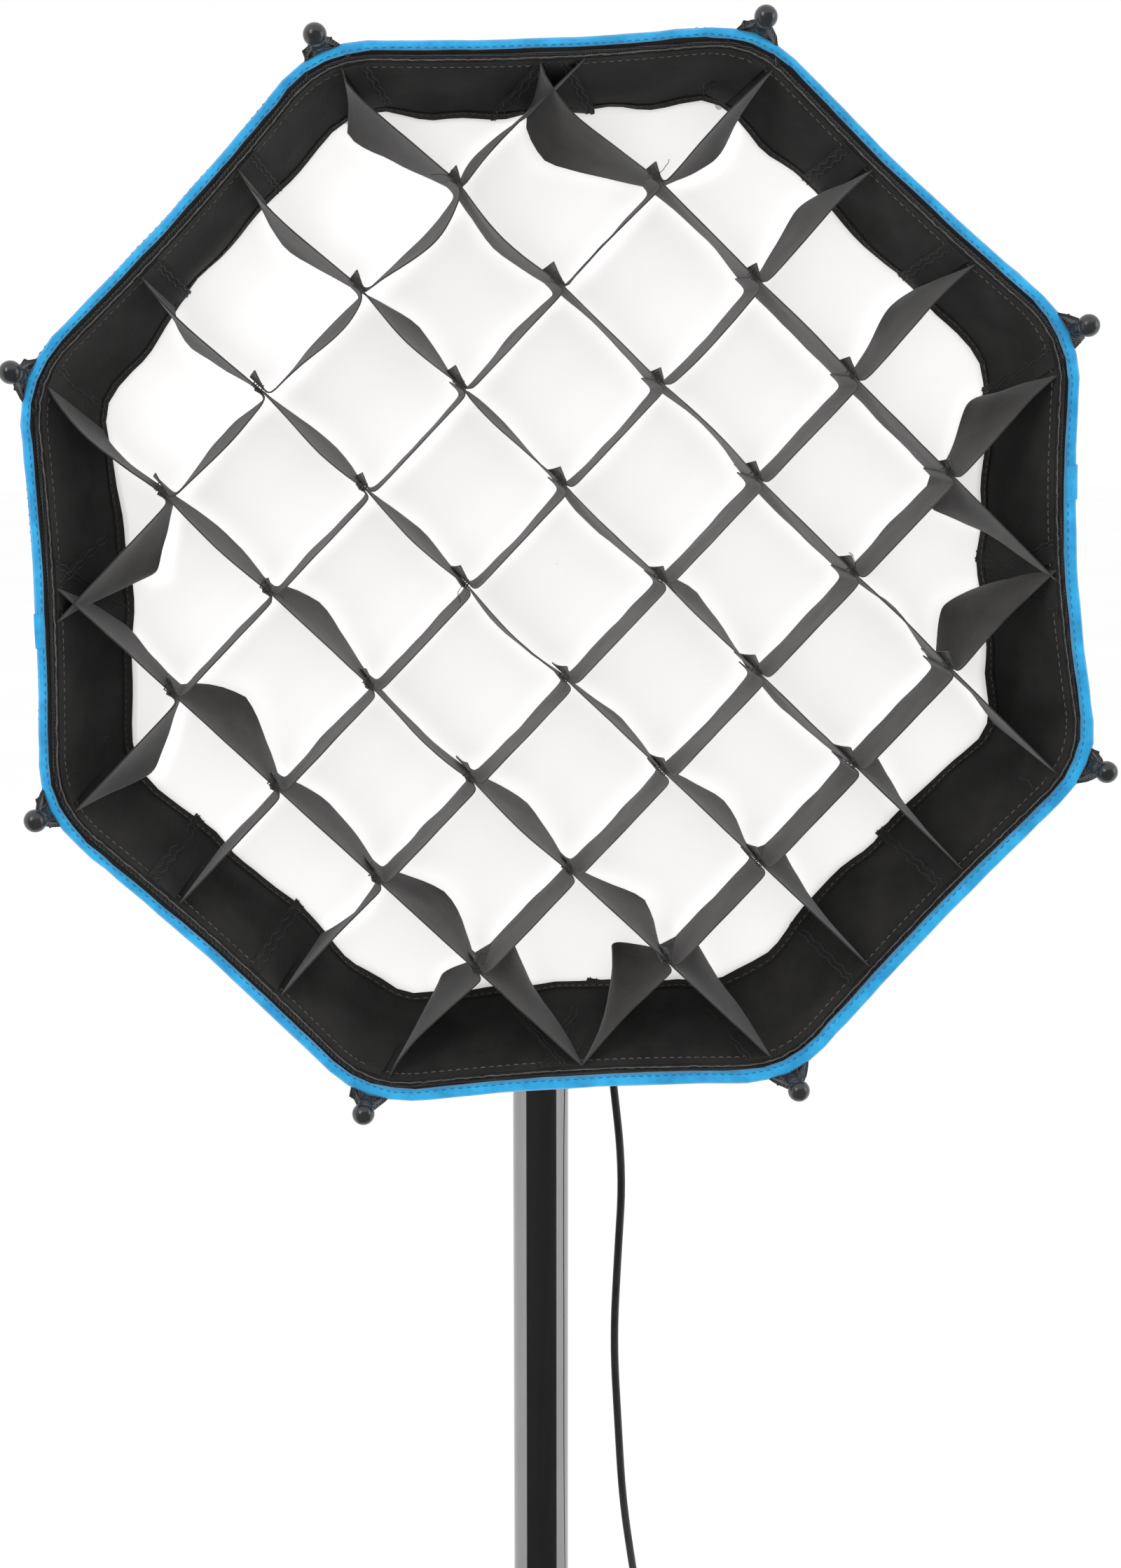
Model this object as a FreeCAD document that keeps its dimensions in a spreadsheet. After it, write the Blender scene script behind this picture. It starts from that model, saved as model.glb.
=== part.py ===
import FreeCAD, Part
import math
import os
import Sketcher

# A studio softbox on its flash head and stand, in millimetres, +Z up.  The light faces -Y.
# The origin is on the floor, under the middle of the whole object.

Vector = FreeCAD.Vector
Rotation = FreeCAD.Rotation
Placement = FreeCAD.Placement

DIMENSIONS = {
    # softbox
    "rim_flats": 600,
    "rim_height": 1100,
    "box_side": -22,
    "box_front": -270,
    "box_spin": 2.2,
    "shell_end_radius": 96,
    "shell_depth": 250,
    "shell_bulge": 26,
    "rod_bulge": 29,
    "cloth": 2,
    "corner_gap": 4,
    "lip_depth": 61,
    "lip_taper": 28,
    "lip_cloth": 1.5,
    "binding_width": 6,
    "binding_depth": 4,
    "rod_radius": 2.5,
    "tip_radius": 6.5,
    "baffle_depth": 150,
    "baffle_flats": 280,
    # grid
    "grid_pitch": 80.5,
    "grid_outer_offset": 202,
    "grid_front": 4,
    "grid_back": 58,
    "grid_cloth": 1.5,
    "grid_clear": 0.6,
    # speed ring and flash head
    "ring_bore": 66,
    "ring_radius": 78,
    "ring_front": 260.4,
    "ring_back": 286,
    "head_radius": 68,
    "head_front": 299,
    "head_joint": 404,
    "head_back": 520,
    "head_wall": 3,
    # bracket
    "pivot_height": 994,
    "disc_radius": 28,
    "disc_thick": 14,
    "bolt_radius": 4.6,
    "stud_radius": 8,
    "stud_fit": 0.08,
    # stand
    "stand_back": 120,
    "column_radius": 21,
    "column_bore": 19,
    "column_foot": 40,
    "column_top": 760,
    "riser_radius": 17.5,
    "riser_bore": 15.5,
    "riser_foot": 200,
    "riser_top": 868,
    "leg_reach": 480,
    "leg_radius": 12.5,
    "leg_wall": 2.5,
    "hub_radius": 33,
    "hub_height": 26,
    "hub_step": 27,
    "foot_radius": 16,
    "foot_height": 24,
    # mains cord
    "cord_radius": 3,
    "coil_radius": 36,
    "coil_width": 24,
    "coil_height": 18,
}

doc = FreeCAD.newDocument("studio_softbox")
sheet = doc.addObject("Spreadsheet::Sheet", "dims")
for row, (alias, number) in enumerate(DIMENSIONS.items(), 1):
    sheet.set(f"A{row}", alias)
    sheet.set(f"B{row}", str(number))
    sheet.setAlias(f"B{row}", alias)
doc.recompute()


class Size:
    """A length worked out from the sheet: its value now, and the formula that keeps it bound."""

    def __init__(self, value, text):
        self.value = value
        self.text = text

    def join(self, sign, other, turned=False):
        other = other if isinstance(other, Size) else Size(float(other), f"({float(other)})")
        left, right = (other, self) if turned else (self, other)
        sums = {
            "+": left.value + right.value,
            "-": left.value - right.value,
            "*": left.value * right.value,
            "/": left.value / right.value if right.value else 0.0,
        }
        return Size(sums[sign], f"({left.text} {sign} {right.text})")

    def __add__(self, other):
        return self.join("+", other)

    def __radd__(self, other):
        return self.join("+", other, True)

    def __sub__(self, other):
        return self.join("-", other)

    def __rsub__(self, other):
        return self.join("-", other, True)

    def __mul__(self, other):
        return self.join("*", other)

    def __rmul__(self, other):
        return self.join("*", other, True)

    def __truediv__(self, other):
        return self.join("/", other)

    def __neg__(self):
        return self.join("*", -1)

    def __float__(self):
        return float(self.value)


def size(alias):
    return Size(float(sheet.get(alias)), f"dims.{alias}")


def bind(thing, name, amount):
    """Set a property, and bind it to the sheet where the amount comes from there."""
    setattr(thing, name, float(amount))
    if isinstance(amount, Size):
        thing.setExpression(name, amount.text)


HALF_SECTOR = math.radians(22.5)
TO_CORNER = 1 / math.cos(HALF_SECTOR)
finished = []


def finish(thing, label, placement=None):
    """Name a sub-part, place it, and put it on the list of parts that are written."""
    thing.Label = label
    if placement is not None:
        thing.Placement = placement
    finished.append(thing)
    return thing


# ---------------------------------------------------------------- frames of reference

X_AXIS = Vector(1, 0, 0)
Y_AXIS = Vector(0, 1, 0)
Z_AXIS = Vector(0, 0, 1)

side = size("box_side")
front = size("box_front")
rim_height = size("rim_height")
stand_back = size("stand_back")

# The light's own frame: Z runs back into the box from the rim, X is to the right, Y is down.
LIGHT = Placement(
    Vector(float(side), float(front), float(rim_height)),
    Rotation(X_AXIS, -90),
)
# The softbox hangs turned by a couple of degrees in its ring.
SPUN = LIGHT * Placement(Vector(), Rotation(Z_AXIS, -float(size("box_spin"))))


def sector(index):
    """The softbox frame turned to face number index of its eight."""
    return SPUN * Placement(Vector(), Rotation(Z_AXIS, 45 * index))


def on_stand(z, turn=0):
    """A frame on the stand's centre line, turned about it."""
    return Placement(Vector(0, float(stand_back), float(z)), Rotation(Z_AXIS, turn))


def place(across, up, along, way=None):
    """A plain frame at a point, its own Z turned to the way given."""
    return Placement(Vector(across, up, along), Rotation(Z_AXIS, way) if way else Rotation())


# ---------------------------------------------------------------- ways to make a piece

def origin_plane(body, role):
    return next(item for item in body.Origin.OriginFeatures if item.Role == role)


def start_sketch(body, role):
    sketch = body.newObject("Sketcher::SketchObject", f"{body.Name}_sketch")
    sketch.AttachmentSupport = [(origin_plane(body, role), "")]
    sketch.MapMode = "FlatFace"
    return sketch


def hold_point(sketch, edge, end, across, up):
    """Tie one end of an edge to its place, measured from the sketch's origin."""
    for kind, amount, axis in (("DistanceX", across, -2), ("DistanceY", up, -1)):
        if abs(float(amount)) < 1e-9:
            sketch.addConstraint(Sketcher.Constraint("PointOnObject", edge, end, axis))
            continue
        index = sketch.addConstraint(Sketcher.Constraint(kind, -1, 1, edge, end, float(amount)))
        if isinstance(amount, Size):
            sketch.setExpression(f"Constraints[{index}]", amount.text)


def draw_outline(sketch, points):
    """A closed outline of straight edges, each of its points tied to the sheet."""
    places = [Vector(float(across), float(up), 0) for across, up in points]
    first = sketch.GeometryCount
    count = len(points)
    for step in range(count):
        sketch.addGeometry(Part.LineSegment(places[step], places[(step + 1) % count]), False)
    for step in range(count):
        following = first + (step + 1) % count
        sketch.addConstraint(Sketcher.Constraint("Coincident", first + step, 2, following, 1))
    for step, (across, up) in enumerate(points):
        hold_point(sketch, first + step, 1, across, up)


def draw_circle(sketch, across, up, radius):
    centre = Vector(float(across), float(up), 0)
    edge = sketch.addGeometry(Part.Circle(centre, Z_AXIS, float(radius)), False)
    hold_point(sketch, edge, 3, across, up)
    index = sketch.addConstraint(Sketcher.Constraint("Radius", edge, float(radius)))
    if isinstance(radius, Size):
        sketch.setExpression(f"Constraints[{index}]", radius.text)


def lathe(name, points):
    """A body turned about its own Z from an outline of (radius, height) points."""
    body = doc.addObject("PartDesign::Body", name)
    sketch = start_sketch(body, "XZ_Plane")
    draw_outline(sketch, points)
    turned = body.newObject("PartDesign::Revolution", f"{name}_turned")
    turned.Profile = sketch
    turned.ReferenceAxis = (sketch, ["V_Axis"])
    turned.Angle = 360
    sketch.Visibility = False
    return body


def tube(name, bore, radius, low, high):
    return lathe(name, [(bore, low), (radius, low), (radius, high), (bore, high)])


def slab(name, points, thickness, role="XY_Plane", both_ways=False, holes=()):
    """A body of one thickness with a straight-edged outline and round holes."""
    body = doc.addObject("PartDesign::Body", name)
    sketch = start_sketch(body, role)
    draw_outline(sketch, points)
    for across, up, radius in holes:
        draw_circle(sketch, across, up, radius)
    pad = body.newObject("PartDesign::Pad", f"{name}_pad")
    pad.Profile = sketch
    bind(pad, "Length", thickness)
    if both_ways:
        pad.Midplane = True
    sketch.Visibility = False
    return body


def cylinder(name, radius, length, placement=None):
    piece = doc.addObject("Part::Cylinder", name)
    bind(piece, "Radius", radius)
    bind(piece, "Height", length)
    if placement is not None:
        piece.Placement = placement
    return piece


def block(name, length, width, tall, placement=None):
    piece = doc.addObject("Part::Box", name)
    bind(piece, "Length", length)
    bind(piece, "Width", width)
    bind(piece, "Height", tall)
    if placement is not None:
        piece.Placement = placement
    return piece


def cut(name, base, tool):
    piece = doc.addObject("Part::Cut", name)
    piece.Base = base
    piece.Tool = tool
    return piece


def join(name, pieces):
    piece = doc.addObject("Part::MultiFuse", name)
    piece.Shapes = pieces
    return piece


def group(name, pieces):
    """Separate solids that share one node."""
    piece = doc.addObject("Part::Compound", name)
    piece.Links = pieces
    return piece


def rounded_path(points, share=0.45, report=None):
    """Straight runs joined by tangent arcs, as large as each pair of runs allows."""
    places = [Vector(*point) for point in points]
    edges = []
    start = places[0]
    for before, here, after in zip(places, places[1:], places[2:]):
        back = (before - here).normalize()
        ahead = (after - here).normalize()
        half_turn = (math.pi - back.getAngle(ahead)) / 2
        reach = share * min((before - here).Length, (after - here).Length)
        radius = reach / math.tan(half_turn)
        enter = here + back * reach
        leave = here + ahead * reach
        middle = (back + ahead).normalize()
        centre_distance = radius / math.cos(half_turn)
        top = here + middle * (centre_distance - radius)
        edges.append(Part.LineSegment(start, enter).toShape())
        edges.append(Part.Arc(enter, top, leave).toShape())
        start = leave
        if report is not None:
            report.append(radius)
    edges.append(Part.LineSegment(start, places[-1]).toShape())
    return Part.Wire(edges)


def sweep(name, wire, radius):
    """A round bar along a wire, as a Part sweep of a circle that the sheet sizes."""
    spine = doc.addObject("Part::Feature", f"{name}_spine")
    spine.Shape = wire
    first = wire.OrderedEdges[0]
    start = wire.OrderedVertexes[0].Point
    direction = first.tangentAt(first.FirstParameter)
    if (first.valueAt(first.FirstParameter) - start).Length > 1e-6:
        direction = first.tangentAt(first.LastParameter) * -1
    section = doc.addObject("Part::Circle", f"{name}_section")
    bind(section, "Radius", radius)
    section.Placement = Placement(start, Rotation(Z_AXIS, direction))
    piece = doc.addObject("Part::Sweep", name)
    piece.Sections = [section]
    piece.Spine = (spine, [f"Edge{step + 1}" for step in range(len(wire.Edges))])
    piece.Solid = True
    piece.Frenet = False
    piece.Transition = "Right corner"
    return piece


# ---------------------------------------------------------------- softbox: shell and rods

cloth = size("cloth")
gap = size("corner_gap")
rim = size("rim_flats") / 2
shell_end = size("shell_end_radius")
shell_depth = size("shell_depth")


def bow(start, end, bulge):
    """The middle point of an arc that bulges to the right of its chord from start to end."""
    chord = end - start
    outward = Vector(chord.y, -chord.x, 0).normalize()
    return (start + end) * 0.5 + outward * bulge


def make_gore(index):
    """One of the eight side panels: bowed front to back, flat across, clear of the corner rods."""
    name = f"gore_{index + 1}"
    apex = float(gap) / math.sin(HALF_SECTOR)
    reach = float(rim) + 40
    spread = (reach - apex) * math.tan(HALF_SECTOR)
    panel = doc.addObject("PartDesign::Body", f"{name}_panel")
    sketch = start_sketch(panel, "XZ_Plane")
    bulge = float(size("shell_bulge"))
    outer_front = Vector(float(rim), 0, 0)
    outer_back = Vector(float(shell_end), float(shell_depth), 0)
    inner_front = Vector(float(rim - cloth), 0, 0)
    inner_back = Vector(float(shell_end - cloth), float(shell_depth), 0)
    outer_middle = bow(outer_back, outer_front, -bulge)
    inner_middle = bow(inner_back, inner_front, -bulge)
    sketch.addGeometry(Part.Arc(outer_front, outer_middle, outer_back), False)
    sketch.addGeometry(Part.LineSegment(outer_back, inner_back), False)
    sketch.addGeometry(Part.Arc(inner_back, inner_middle, inner_front), False)
    sketch.addGeometry(Part.LineSegment(inner_front, outer_front), False)
    arc_ends = []
    for edge, front_end in ((0, outer_front), (2, inner_front)):
        starts_at_front = (sketch.getPoint(edge, 1) - front_end).Length < 1e-3
        arc_ends.append((1, 2) if starts_at_front else (2, 1))
    (outer_a, outer_b), (inner_a, inner_b) = arc_ends
    sketch.addConstraint(Sketcher.Constraint("Coincident", 0, outer_b, 1, 1))
    sketch.addConstraint(Sketcher.Constraint("Coincident", 1, 2, 2, inner_b))
    sketch.addConstraint(Sketcher.Constraint("Coincident", 2, inner_a, 3, 1))
    sketch.addConstraint(Sketcher.Constraint("Coincident", 3, 2, 0, outer_a))
    hold_point(sketch, 0, outer_a, rim, 0)
    hold_point(sketch, 1, 1, shell_end, shell_depth)
    hold_point(sketch, 1, 2, shell_end - cloth, shell_depth)
    hold_point(sketch, 3, 1, rim - cloth, 0)
    for edge in (0, 2):
        sketch.addConstraint(Sketcher.Constraint("Radius", edge, sketch.Geometry[edge].Radius))
    pad = panel.newObject("PartDesign::Pad", f"{name}_pad")
    pad.Profile = sketch
    bind(pad, "Length", rim)
    pad.Midplane = True
    wedge = slab(f"{name}_wedge", [(apex, 0), (reach, -spread), (reach, spread)], shell_depth)
    gore = doc.addObject("Part::Common", name)
    gore.Base = panel
    gore.Tool = wedge
    return finish(gore, name, sector(index))


def trapezoid(name, near, far, low, high, thick):
    """A flat panel between two of the octagon's corner planes, clear of them by the corner gap."""
    inset = float(gap) / math.cos(HALF_SECTOR)
    wires = []
    for apothem, z in ((float(near), float(low)), (float(far), float(high))):
        half = apothem * math.tan(HALF_SECTOR) - inset
        inside = apothem - float(thick)
        corners = [
            Vector(apothem, -half, z),
            Vector(apothem, half, z),
            Vector(inside, half, z),
            Vector(inside, -half, z),
        ]
        wires.append(Part.makePolygon(corners + corners[:1]))
    piece = doc.addObject("Part::Feature", name)
    piece.Shape = Part.makeLoft(wires, True, True)
    return piece


def octagon(apothem):
    """The corner points of an octagon with flats across X and Y, from its apothem."""
    half = math.tan(HALF_SECTOR)
    quarter = [(1, half), (half, 1), (-half, 1), (-1, half)]
    opposite = [(-across, -up) for across, up in quarter]
    return [(apothem * across, apothem * up) for across, up in quarter + opposite]


def ring_of_panels(name, make_one):
    pieces = []
    for index in range(8):
        piece = make_one(f"{name}_{index + 1}")
        piece.Placement = Placement(Vector(), Rotation(Z_AXIS, 45 * index))
        pieces.append(piece)
    return finish(group(name, pieces), name, SPUN)


for index in range(8):
    make_gore(index)

LIP_INSET = 2.5
BINDING_PROUD = 0.5
BINDING_CLEAR = 0.2
DIFFUSER_CLEAR = 0.3
lip_cloth = size("lip_cloth")
lip_depth = size("lip_depth")
lip_start = rim - LIP_INSET
lip_end = lip_start - size("lip_taper")
ring_of_panels("lip_panels", lambda name: trapezoid(name, lip_start, lip_end, 0, lip_depth, lip_cloth))

binding_rim = rim + BINDING_PROUD
binding_width = size("binding_width")
binding_front = -size("binding_depth")
ring_of_panels(
    "edge_binding",
    lambda name: trapezoid(name, binding_rim, binding_rim, binding_front, -BINDING_CLEAR, binding_width),
)

diffuser = slab("diffuser", octagon(lip_end - 1), lip_cloth)
finish(diffuser, "diffuser", SPUN * place(0, 0, float(lip_depth) + DIFFUSER_CLEAR))

# The line of a rod: bowed from the ring's socket to the corner, then straight on into the tip.
ROD_FRONT = Vector(float(rim) * TO_CORNER + 0.5, 0, 4)
ROD_BACK = Vector(92, 0, 254)
SOCKET_LENGTH = 22
SOCKET_FLOOR = 4
TIP_START = 9
TIP_REACH = 20


def turned_to_x(point):
    return Vector(point.x, point.z, 0)


rod_middle = bow(turned_to_x(ROD_BACK), turned_to_x(ROD_FRONT), -float(size("rod_bulge")))
ROD_MIDDLE = Vector(rod_middle.x, 0, rod_middle.y)
rod_arc = Part.Arc(ROD_FRONT, ROD_MIDDLE, ROD_BACK)
arc_edge = rod_arc.toShape()


def end_tangent(edge, point):
    """The direction in which an edge leaves one of its end points."""
    if (edge.valueAt(edge.FirstParameter) - point).Length < 1e-6:
        return edge.tangentAt(edge.FirstParameter) * -1
    return edge.tangentAt(edge.LastParameter)


front_way = end_tangent(arc_edge, ROD_FRONT)
back_way = end_tangent(arc_edge, ROD_BACK)
rod_tip_end = ROD_FRONT + front_way * TIP_START
rod_socket_end = ROD_BACK + back_way * (SOCKET_LENGTH - SOCKET_FLOOR)
rod_wire = Part.Wire(
    [
        Part.LineSegment(rod_tip_end, ROD_FRONT).toShape(),
        arc_edge,
        Part.LineSegment(ROD_BACK, rod_socket_end).toShape(),
    ]
)
baffle_depth = size("baffle_depth")
baffle_half = size("baffle_flats") / 2
baffle = slab("inner_baffle", octagon(baffle_half), lip_cloth)
finish(baffle, "inner_baffle", SPUN * place(0, 0, float(baffle_depth)))

# Elastic straps from the baffle's corners out to the rods.
STRAP_WIDTH = 6.4
STRAP_CLEAR = 0.3
straps = []
strap_start = float(baffle_half) * TO_CORNER + STRAP_CLEAR
rod_circle = arc_edge.Curve
rod_rise = float(baffle_depth + lip_cloth) - rod_circle.Center.z
rod_here = rod_circle.Center.x + math.sqrt(rod_circle.Radius**2 - rod_rise**2)
strap_end = rod_here - float(size("rod_radius")) * TO_CORNER - STRAP_CLEAR
for index in range(8):
    turn = Placement(Vector(), Rotation(Z_AXIS, 45 * index + 22.5))
    inner_end = turn * place(strap_start, -STRAP_WIDTH / 2, float(baffle_depth))
    straps.append(block(f"strap_{index + 1}", strap_end - strap_start, STRAP_WIDTH, lip_cloth, inner_end))
finish(group("baffle_straps", straps), "baffle_straps", SPUN)

# The eight rods with their moulded tips, and the barrels that hold them at the ring.
BARREL_RADIUS = 5.5
ROD_PLAY = 0.05
rods = []
tips = []
sockets = []
for index in range(8):
    turn = Placement(Vector(), Rotation(Z_AXIS, 45 * index + 22.5))
    rod = sweep(f"rod_{index + 1}", rod_wire, size("rod_radius"))
    rod.Placement = turn
    rods.append(rod)
    # The tip is a cone that takes the rod's end, and the ball beyond it.
    neck = lathe(
        f"tip_neck_{index + 1}",
        [(0, TIP_START), (3.4, TIP_START), (4.2, TIP_START + 5), (3.6, TIP_START + 8), (0, TIP_START + 8)],
    )
    ball = doc.addObject("Part::Sphere", f"ball_{index + 1}")
    bind(ball, "Radius", size("tip_radius"))
    ball.Placement = place(0, 0, TIP_REACH)
    tip = join(f"tip_{index + 1}", [neck, ball])
    tip.Placement = turn * Placement(ROD_FRONT, Rotation(Z_AXIS, front_way))
    tips.append(tip)
    barrel = cylinder(f"barrel_{index + 1}", BARREL_RADIUS, SOCKET_LENGTH)
    hole = cylinder(f"barrel_hole_{index + 1}", size("rod_radius") + ROD_PLAY, SOCKET_LENGTH)
    barrel.Placement = turn * Placement(ROD_BACK, Rotation(Z_AXIS, back_way))
    hole.Placement = turn * Placement(ROD_BACK - back_way * SOCKET_FLOOR, Rotation(Z_AXIS, back_way))
    sockets.append((barrel, hole))
finish(group("rods", rods), "rods", SPUN)
finish(group("rod_tips", tips), "rod_tips", SPUN)

# Hook-and-loop corner tabs: two on each corner, lying on the panels beside the tip.
tabs = []
TAB_LONG = 26
TAB_WIDE = 20
TAB_THICK = 1.6
TAB_CLEAR = 4.6
TAB_PROUD = 5.2
TAB_FRONT = -9
shell_lean = math.degrees(math.atan2(front_way.x, -front_way.z))
half_side = float(rim) * math.tan(HALF_SECTOR)
for index in range(8):
    face = Placement(Vector(), Rotation(Z_AXIS, 45 * index))
    lean = Rotation(Y_AXIS, -shell_lean)
    for number, across in enumerate((TAB_CLEAR - half_side, half_side - TAB_CLEAR - TAB_WIDE), 1):
        tab = block(f"tab_{index + 1}_{number}", TAB_THICK, TAB_WIDE, TAB_LONG)
        tab.Placement = face * Placement(Vector(float(rim) + TAB_PROUD, across, TAB_FRONT), lean)
        tabs.append(tab)
finish(group("corner_tabs", tabs), "corner_tabs", SPUN)

# ---------------------------------------------------------------- speed ring

ring_bore = size("ring_bore")
ring_radius = size("ring_radius")
ring_front = size("ring_front")
ring_back = size("ring_back")
SCREW_DEPTH = 277.5

ring_body = tube("ring_body", ring_bore, ring_radius, ring_front, ring_back)
barrels = [barrel for barrel, hole in sockets]
rod_holes = [hole for barrel, hole in sockets]
screw_hole = cylinder("screw_hole", 3, 30, place(0, 60, SCREW_DEPTH, Y_AXIS))
ring_outside = join("ring_outside", [ring_body] + barrels)
ring_space = cylinder("ring_space", ring_bore, 60, place(0, 0, 240))
ring_holes = join("ring_holes", rod_holes + [screw_hole, ring_space])
finish(cut("speed_ring", ring_outside, ring_holes), "speed_ring", SPUN)

cuff = lathe("ring_cuff", [(101.6, 251.5), (103.2, 251.5), (91.6, 266), (90, 266)])
finish(cuff, "ring_cuff", SPUN)

screw = lathe(
    "ring_lock_screw",
    [(0, 66.3), (2.6, 66.3), (2.6, 80), (8, 80), (9, 82), (9, 93), (8, 95), (0, 95)],
)
finish(screw, "ring_lock_screw", SPUN * place(0, 0, SCREW_DEPTH, Y_AXIS))

# ---------------------------------------------------------------- grid

grid_front = size("grid_front")
grid_back = size("grid_back")
grid_cloth = size("grid_cloth")
pitch = size("grid_pitch")
slope = float(size("lip_taper")) / float(size("lip_depth"))


def lip_inside(z):
    """The apothem of the lip's inner face at a depth."""
    return float(lip_start) - float(lip_cloth) - slope * float(z)


clear = float(size("grid_clear"))
band_front = lip_inside(grid_front) - clear
band_back = lip_inside(grid_back) - clear


def closed_band(name, inset):
    """The solid octagonal frustum between the grid's front and back, inset from its border's outside."""
    wires = []
    for apothem, z in ((band_front - inset, grid_front), (band_back - inset, grid_back)):
        corners = [Vector(float(a), float(b), float(z)) for a, b in octagon(apothem)]
        wires.append(Part.makePolygon(corners + corners[:1]))
    piece = doc.addObject("Part::Feature", name)
    piece.Shape = Part.makeLoft(wires, True, True)
    return piece


BAND_CLOTH = 1.8
border = cut("grid_border", closed_band("border_outside", 0), closed_band("border_inside", BAND_CLOTH))
finish(border, "grid_border", SPUN)


def strip_walls(name, turn, thick):
    """Six parallel upright walls right across the rim, at the grid's pitch."""
    walls = []
    half_steps = (pitch * 0.5, pitch * 1.5, size("grid_outer_offset"))
    offsets = [-step for step in reversed(half_steps)] + list(half_steps)
    for step, offset in enumerate(offsets, 1):
        wall = block(f"{name}_{step}", rim * 2, thick, grid_back - grid_front)
        start = place(-float(rim), float(offset) - float(thick) / 2, float(grid_front))
        wall.Placement = Placement(Vector(), Rotation(Z_AXIS, turn)) * start
        walls.append(wall)
    return walls


def within_border(name, walls):
    trimmed = []
    for step, wall in enumerate(walls, 1):
        piece = doc.addObject("Part::Common", f"{name}_{step}")
        piece.Base = wall
        piece.Tool = closed_band(f"{name}_limit_{step}", BAND_CLOTH)
        trimmed.append(piece)
    return trimmed


LONG_TURN = 45
CROSS_TURN = -45
SLOT_PLAY = 0.2
long_strips = within_border("long_strip", strip_walls("long_wall", LONG_TURN, grid_cloth))
finish(group("grid_long_strips", long_strips), "grid_long_strips", SPUN)

cross_strips = within_border("cross_strip", strip_walls("cross_wall", CROSS_TURN, grid_cloth))
blades = join("strip_slots", strip_walls("slot_wall", LONG_TURN, grid_cloth + SLOT_PLAY))
cross_pieces = [cut(f"cross_piece_{step}", strip, blades) for step, strip in enumerate(cross_strips, 1)]
finish(group("grid_cross_strips", cross_pieces), "grid_cross_strips", SPUN)

# ---------------------------------------------------------------- flash head

head_radius = size("head_radius")
head_wall = size("head_wall")
head_front = size("head_front")
head_joint = size("head_joint")
head_back = size("head_back")

# The ring turns on the insert, between its two flanges.
RING_PLAY = 0.4
FLANGE = 3
insert = lathe(
    "ring_insert",
    [
        (48, ring_front - RING_PLAY - FLANGE),
        (ring_bore + 3, ring_front - RING_PLAY - FLANGE),
        (ring_bore + 3, ring_front - RING_PLAY),
        (ring_bore - RING_PLAY, ring_front - RING_PLAY),
        (ring_bore - RING_PLAY, ring_back + RING_PLAY),
        (ring_bore + 5, ring_back + RING_PLAY),
        (ring_bore + 5, ring_back + RING_PLAY + FLANGE),
        (48, ring_back + RING_PLAY + FLANGE),
    ],
)
finish(insert, "ring_insert", LIGHT)

collar_front = ring_back + (RING_PLAY + FLANGE)
bayonet = lathe(
    "bayonet_blank",
    [
        (49, collar_front),
        (64, collar_front),
        (64, head_front),
        (46, head_front),
        (46, collar_front + 4),
        (49, collar_front + 4),
    ],
)
SLOT_FRONT = 291.4
slot = block("release_slot", 13, 12, 6.6, place(-6.5, -66, SLOT_FRONT))
finish(cut("bayonet_collar", bayonet, slot), "bayonet_collar", LIGHT)

# The release button lies in the collar's slot, at the top, and is pressed towards the axis.
release = block("bayonet_release", 11.4, 12, 5.6)
finish(release, "bayonet_release", LIGHT * place(-5.7, -69, SLOT_FRONT + 0.5))

inner_radius = head_radius - head_wall
front_casing = lathe(
    "front_casing",
    [
        (46, head_front),
        (head_radius - 4, head_front),
        (head_radius, head_front + 4),
        (head_radius, head_joint),
        (inner_radius, head_joint),
        (inner_radius, head_front + head_wall + 1),
        (46, head_front + head_wall + 1),
    ],
)
finish(front_casing, "front_casing", LIGHT)

rear_body = tube("rear_casing", inner_radius, head_radius, head_joint, head_back)
finish(rear_body, "rear_casing", LIGHT)

PANEL_THICK = 6
panel_face = float(head_back) - 4
DIAL_ACROSS, DIAL_DOWN, DIAL_RADIUS = 26, -26, 16
BUTTONS = ((-30, -30), (-30, -10))
BUTTON_RADIUS = 5.5
BUTTON_PLAY = 0.4
ROCKER_ACROSS, ROCKER_DOWN, ROCKER_WIDE, ROCKER_TALL = -24, 28, 22, 14
HOLE_LONG = 20
panel_disc = cylinder("panel_disc", inner_radius, PANEL_THICK)
rocker_corner = place(ROCKER_ACROSS - ROCKER_WIDE / 2, ROCKER_DOWN - ROCKER_TALL / 2, -5)
panel_holes = [
    cylinder("dial_hole", 3.4, HOLE_LONG, place(DIAL_ACROSS, DIAL_DOWN, -5)),
    block("rocker_hole", ROCKER_WIDE, ROCKER_TALL, HOLE_LONG, rocker_corner),
]
for number, (across, down) in enumerate(BUTTONS, 1):
    hole_place = place(across, down, -5)
    panel_holes.append(cylinder(f"button_hole_{number}", BUTTON_RADIUS + BUTTON_PLAY, HOLE_LONG, hole_place))
panel = cut("rear_panel", panel_disc, join("panel_holes", panel_holes))
finish(panel, "rear_panel", LIGHT * place(0, 0, panel_face - PANEL_THICK))

dial = lathe(
    "mode_dial",
    [
        (0, -14),
        (3, -14),
        (3, 0.6),
        (DIAL_RADIUS, 0.6),
        (DIAL_RADIUS - 1, 14),
        (DIAL_RADIUS - 3, 16),
        (0, 16),
    ],
)
finish(dial, "mode_dial", LIGHT * place(DIAL_ACROSS, DIAL_DOWN, panel_face))

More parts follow.
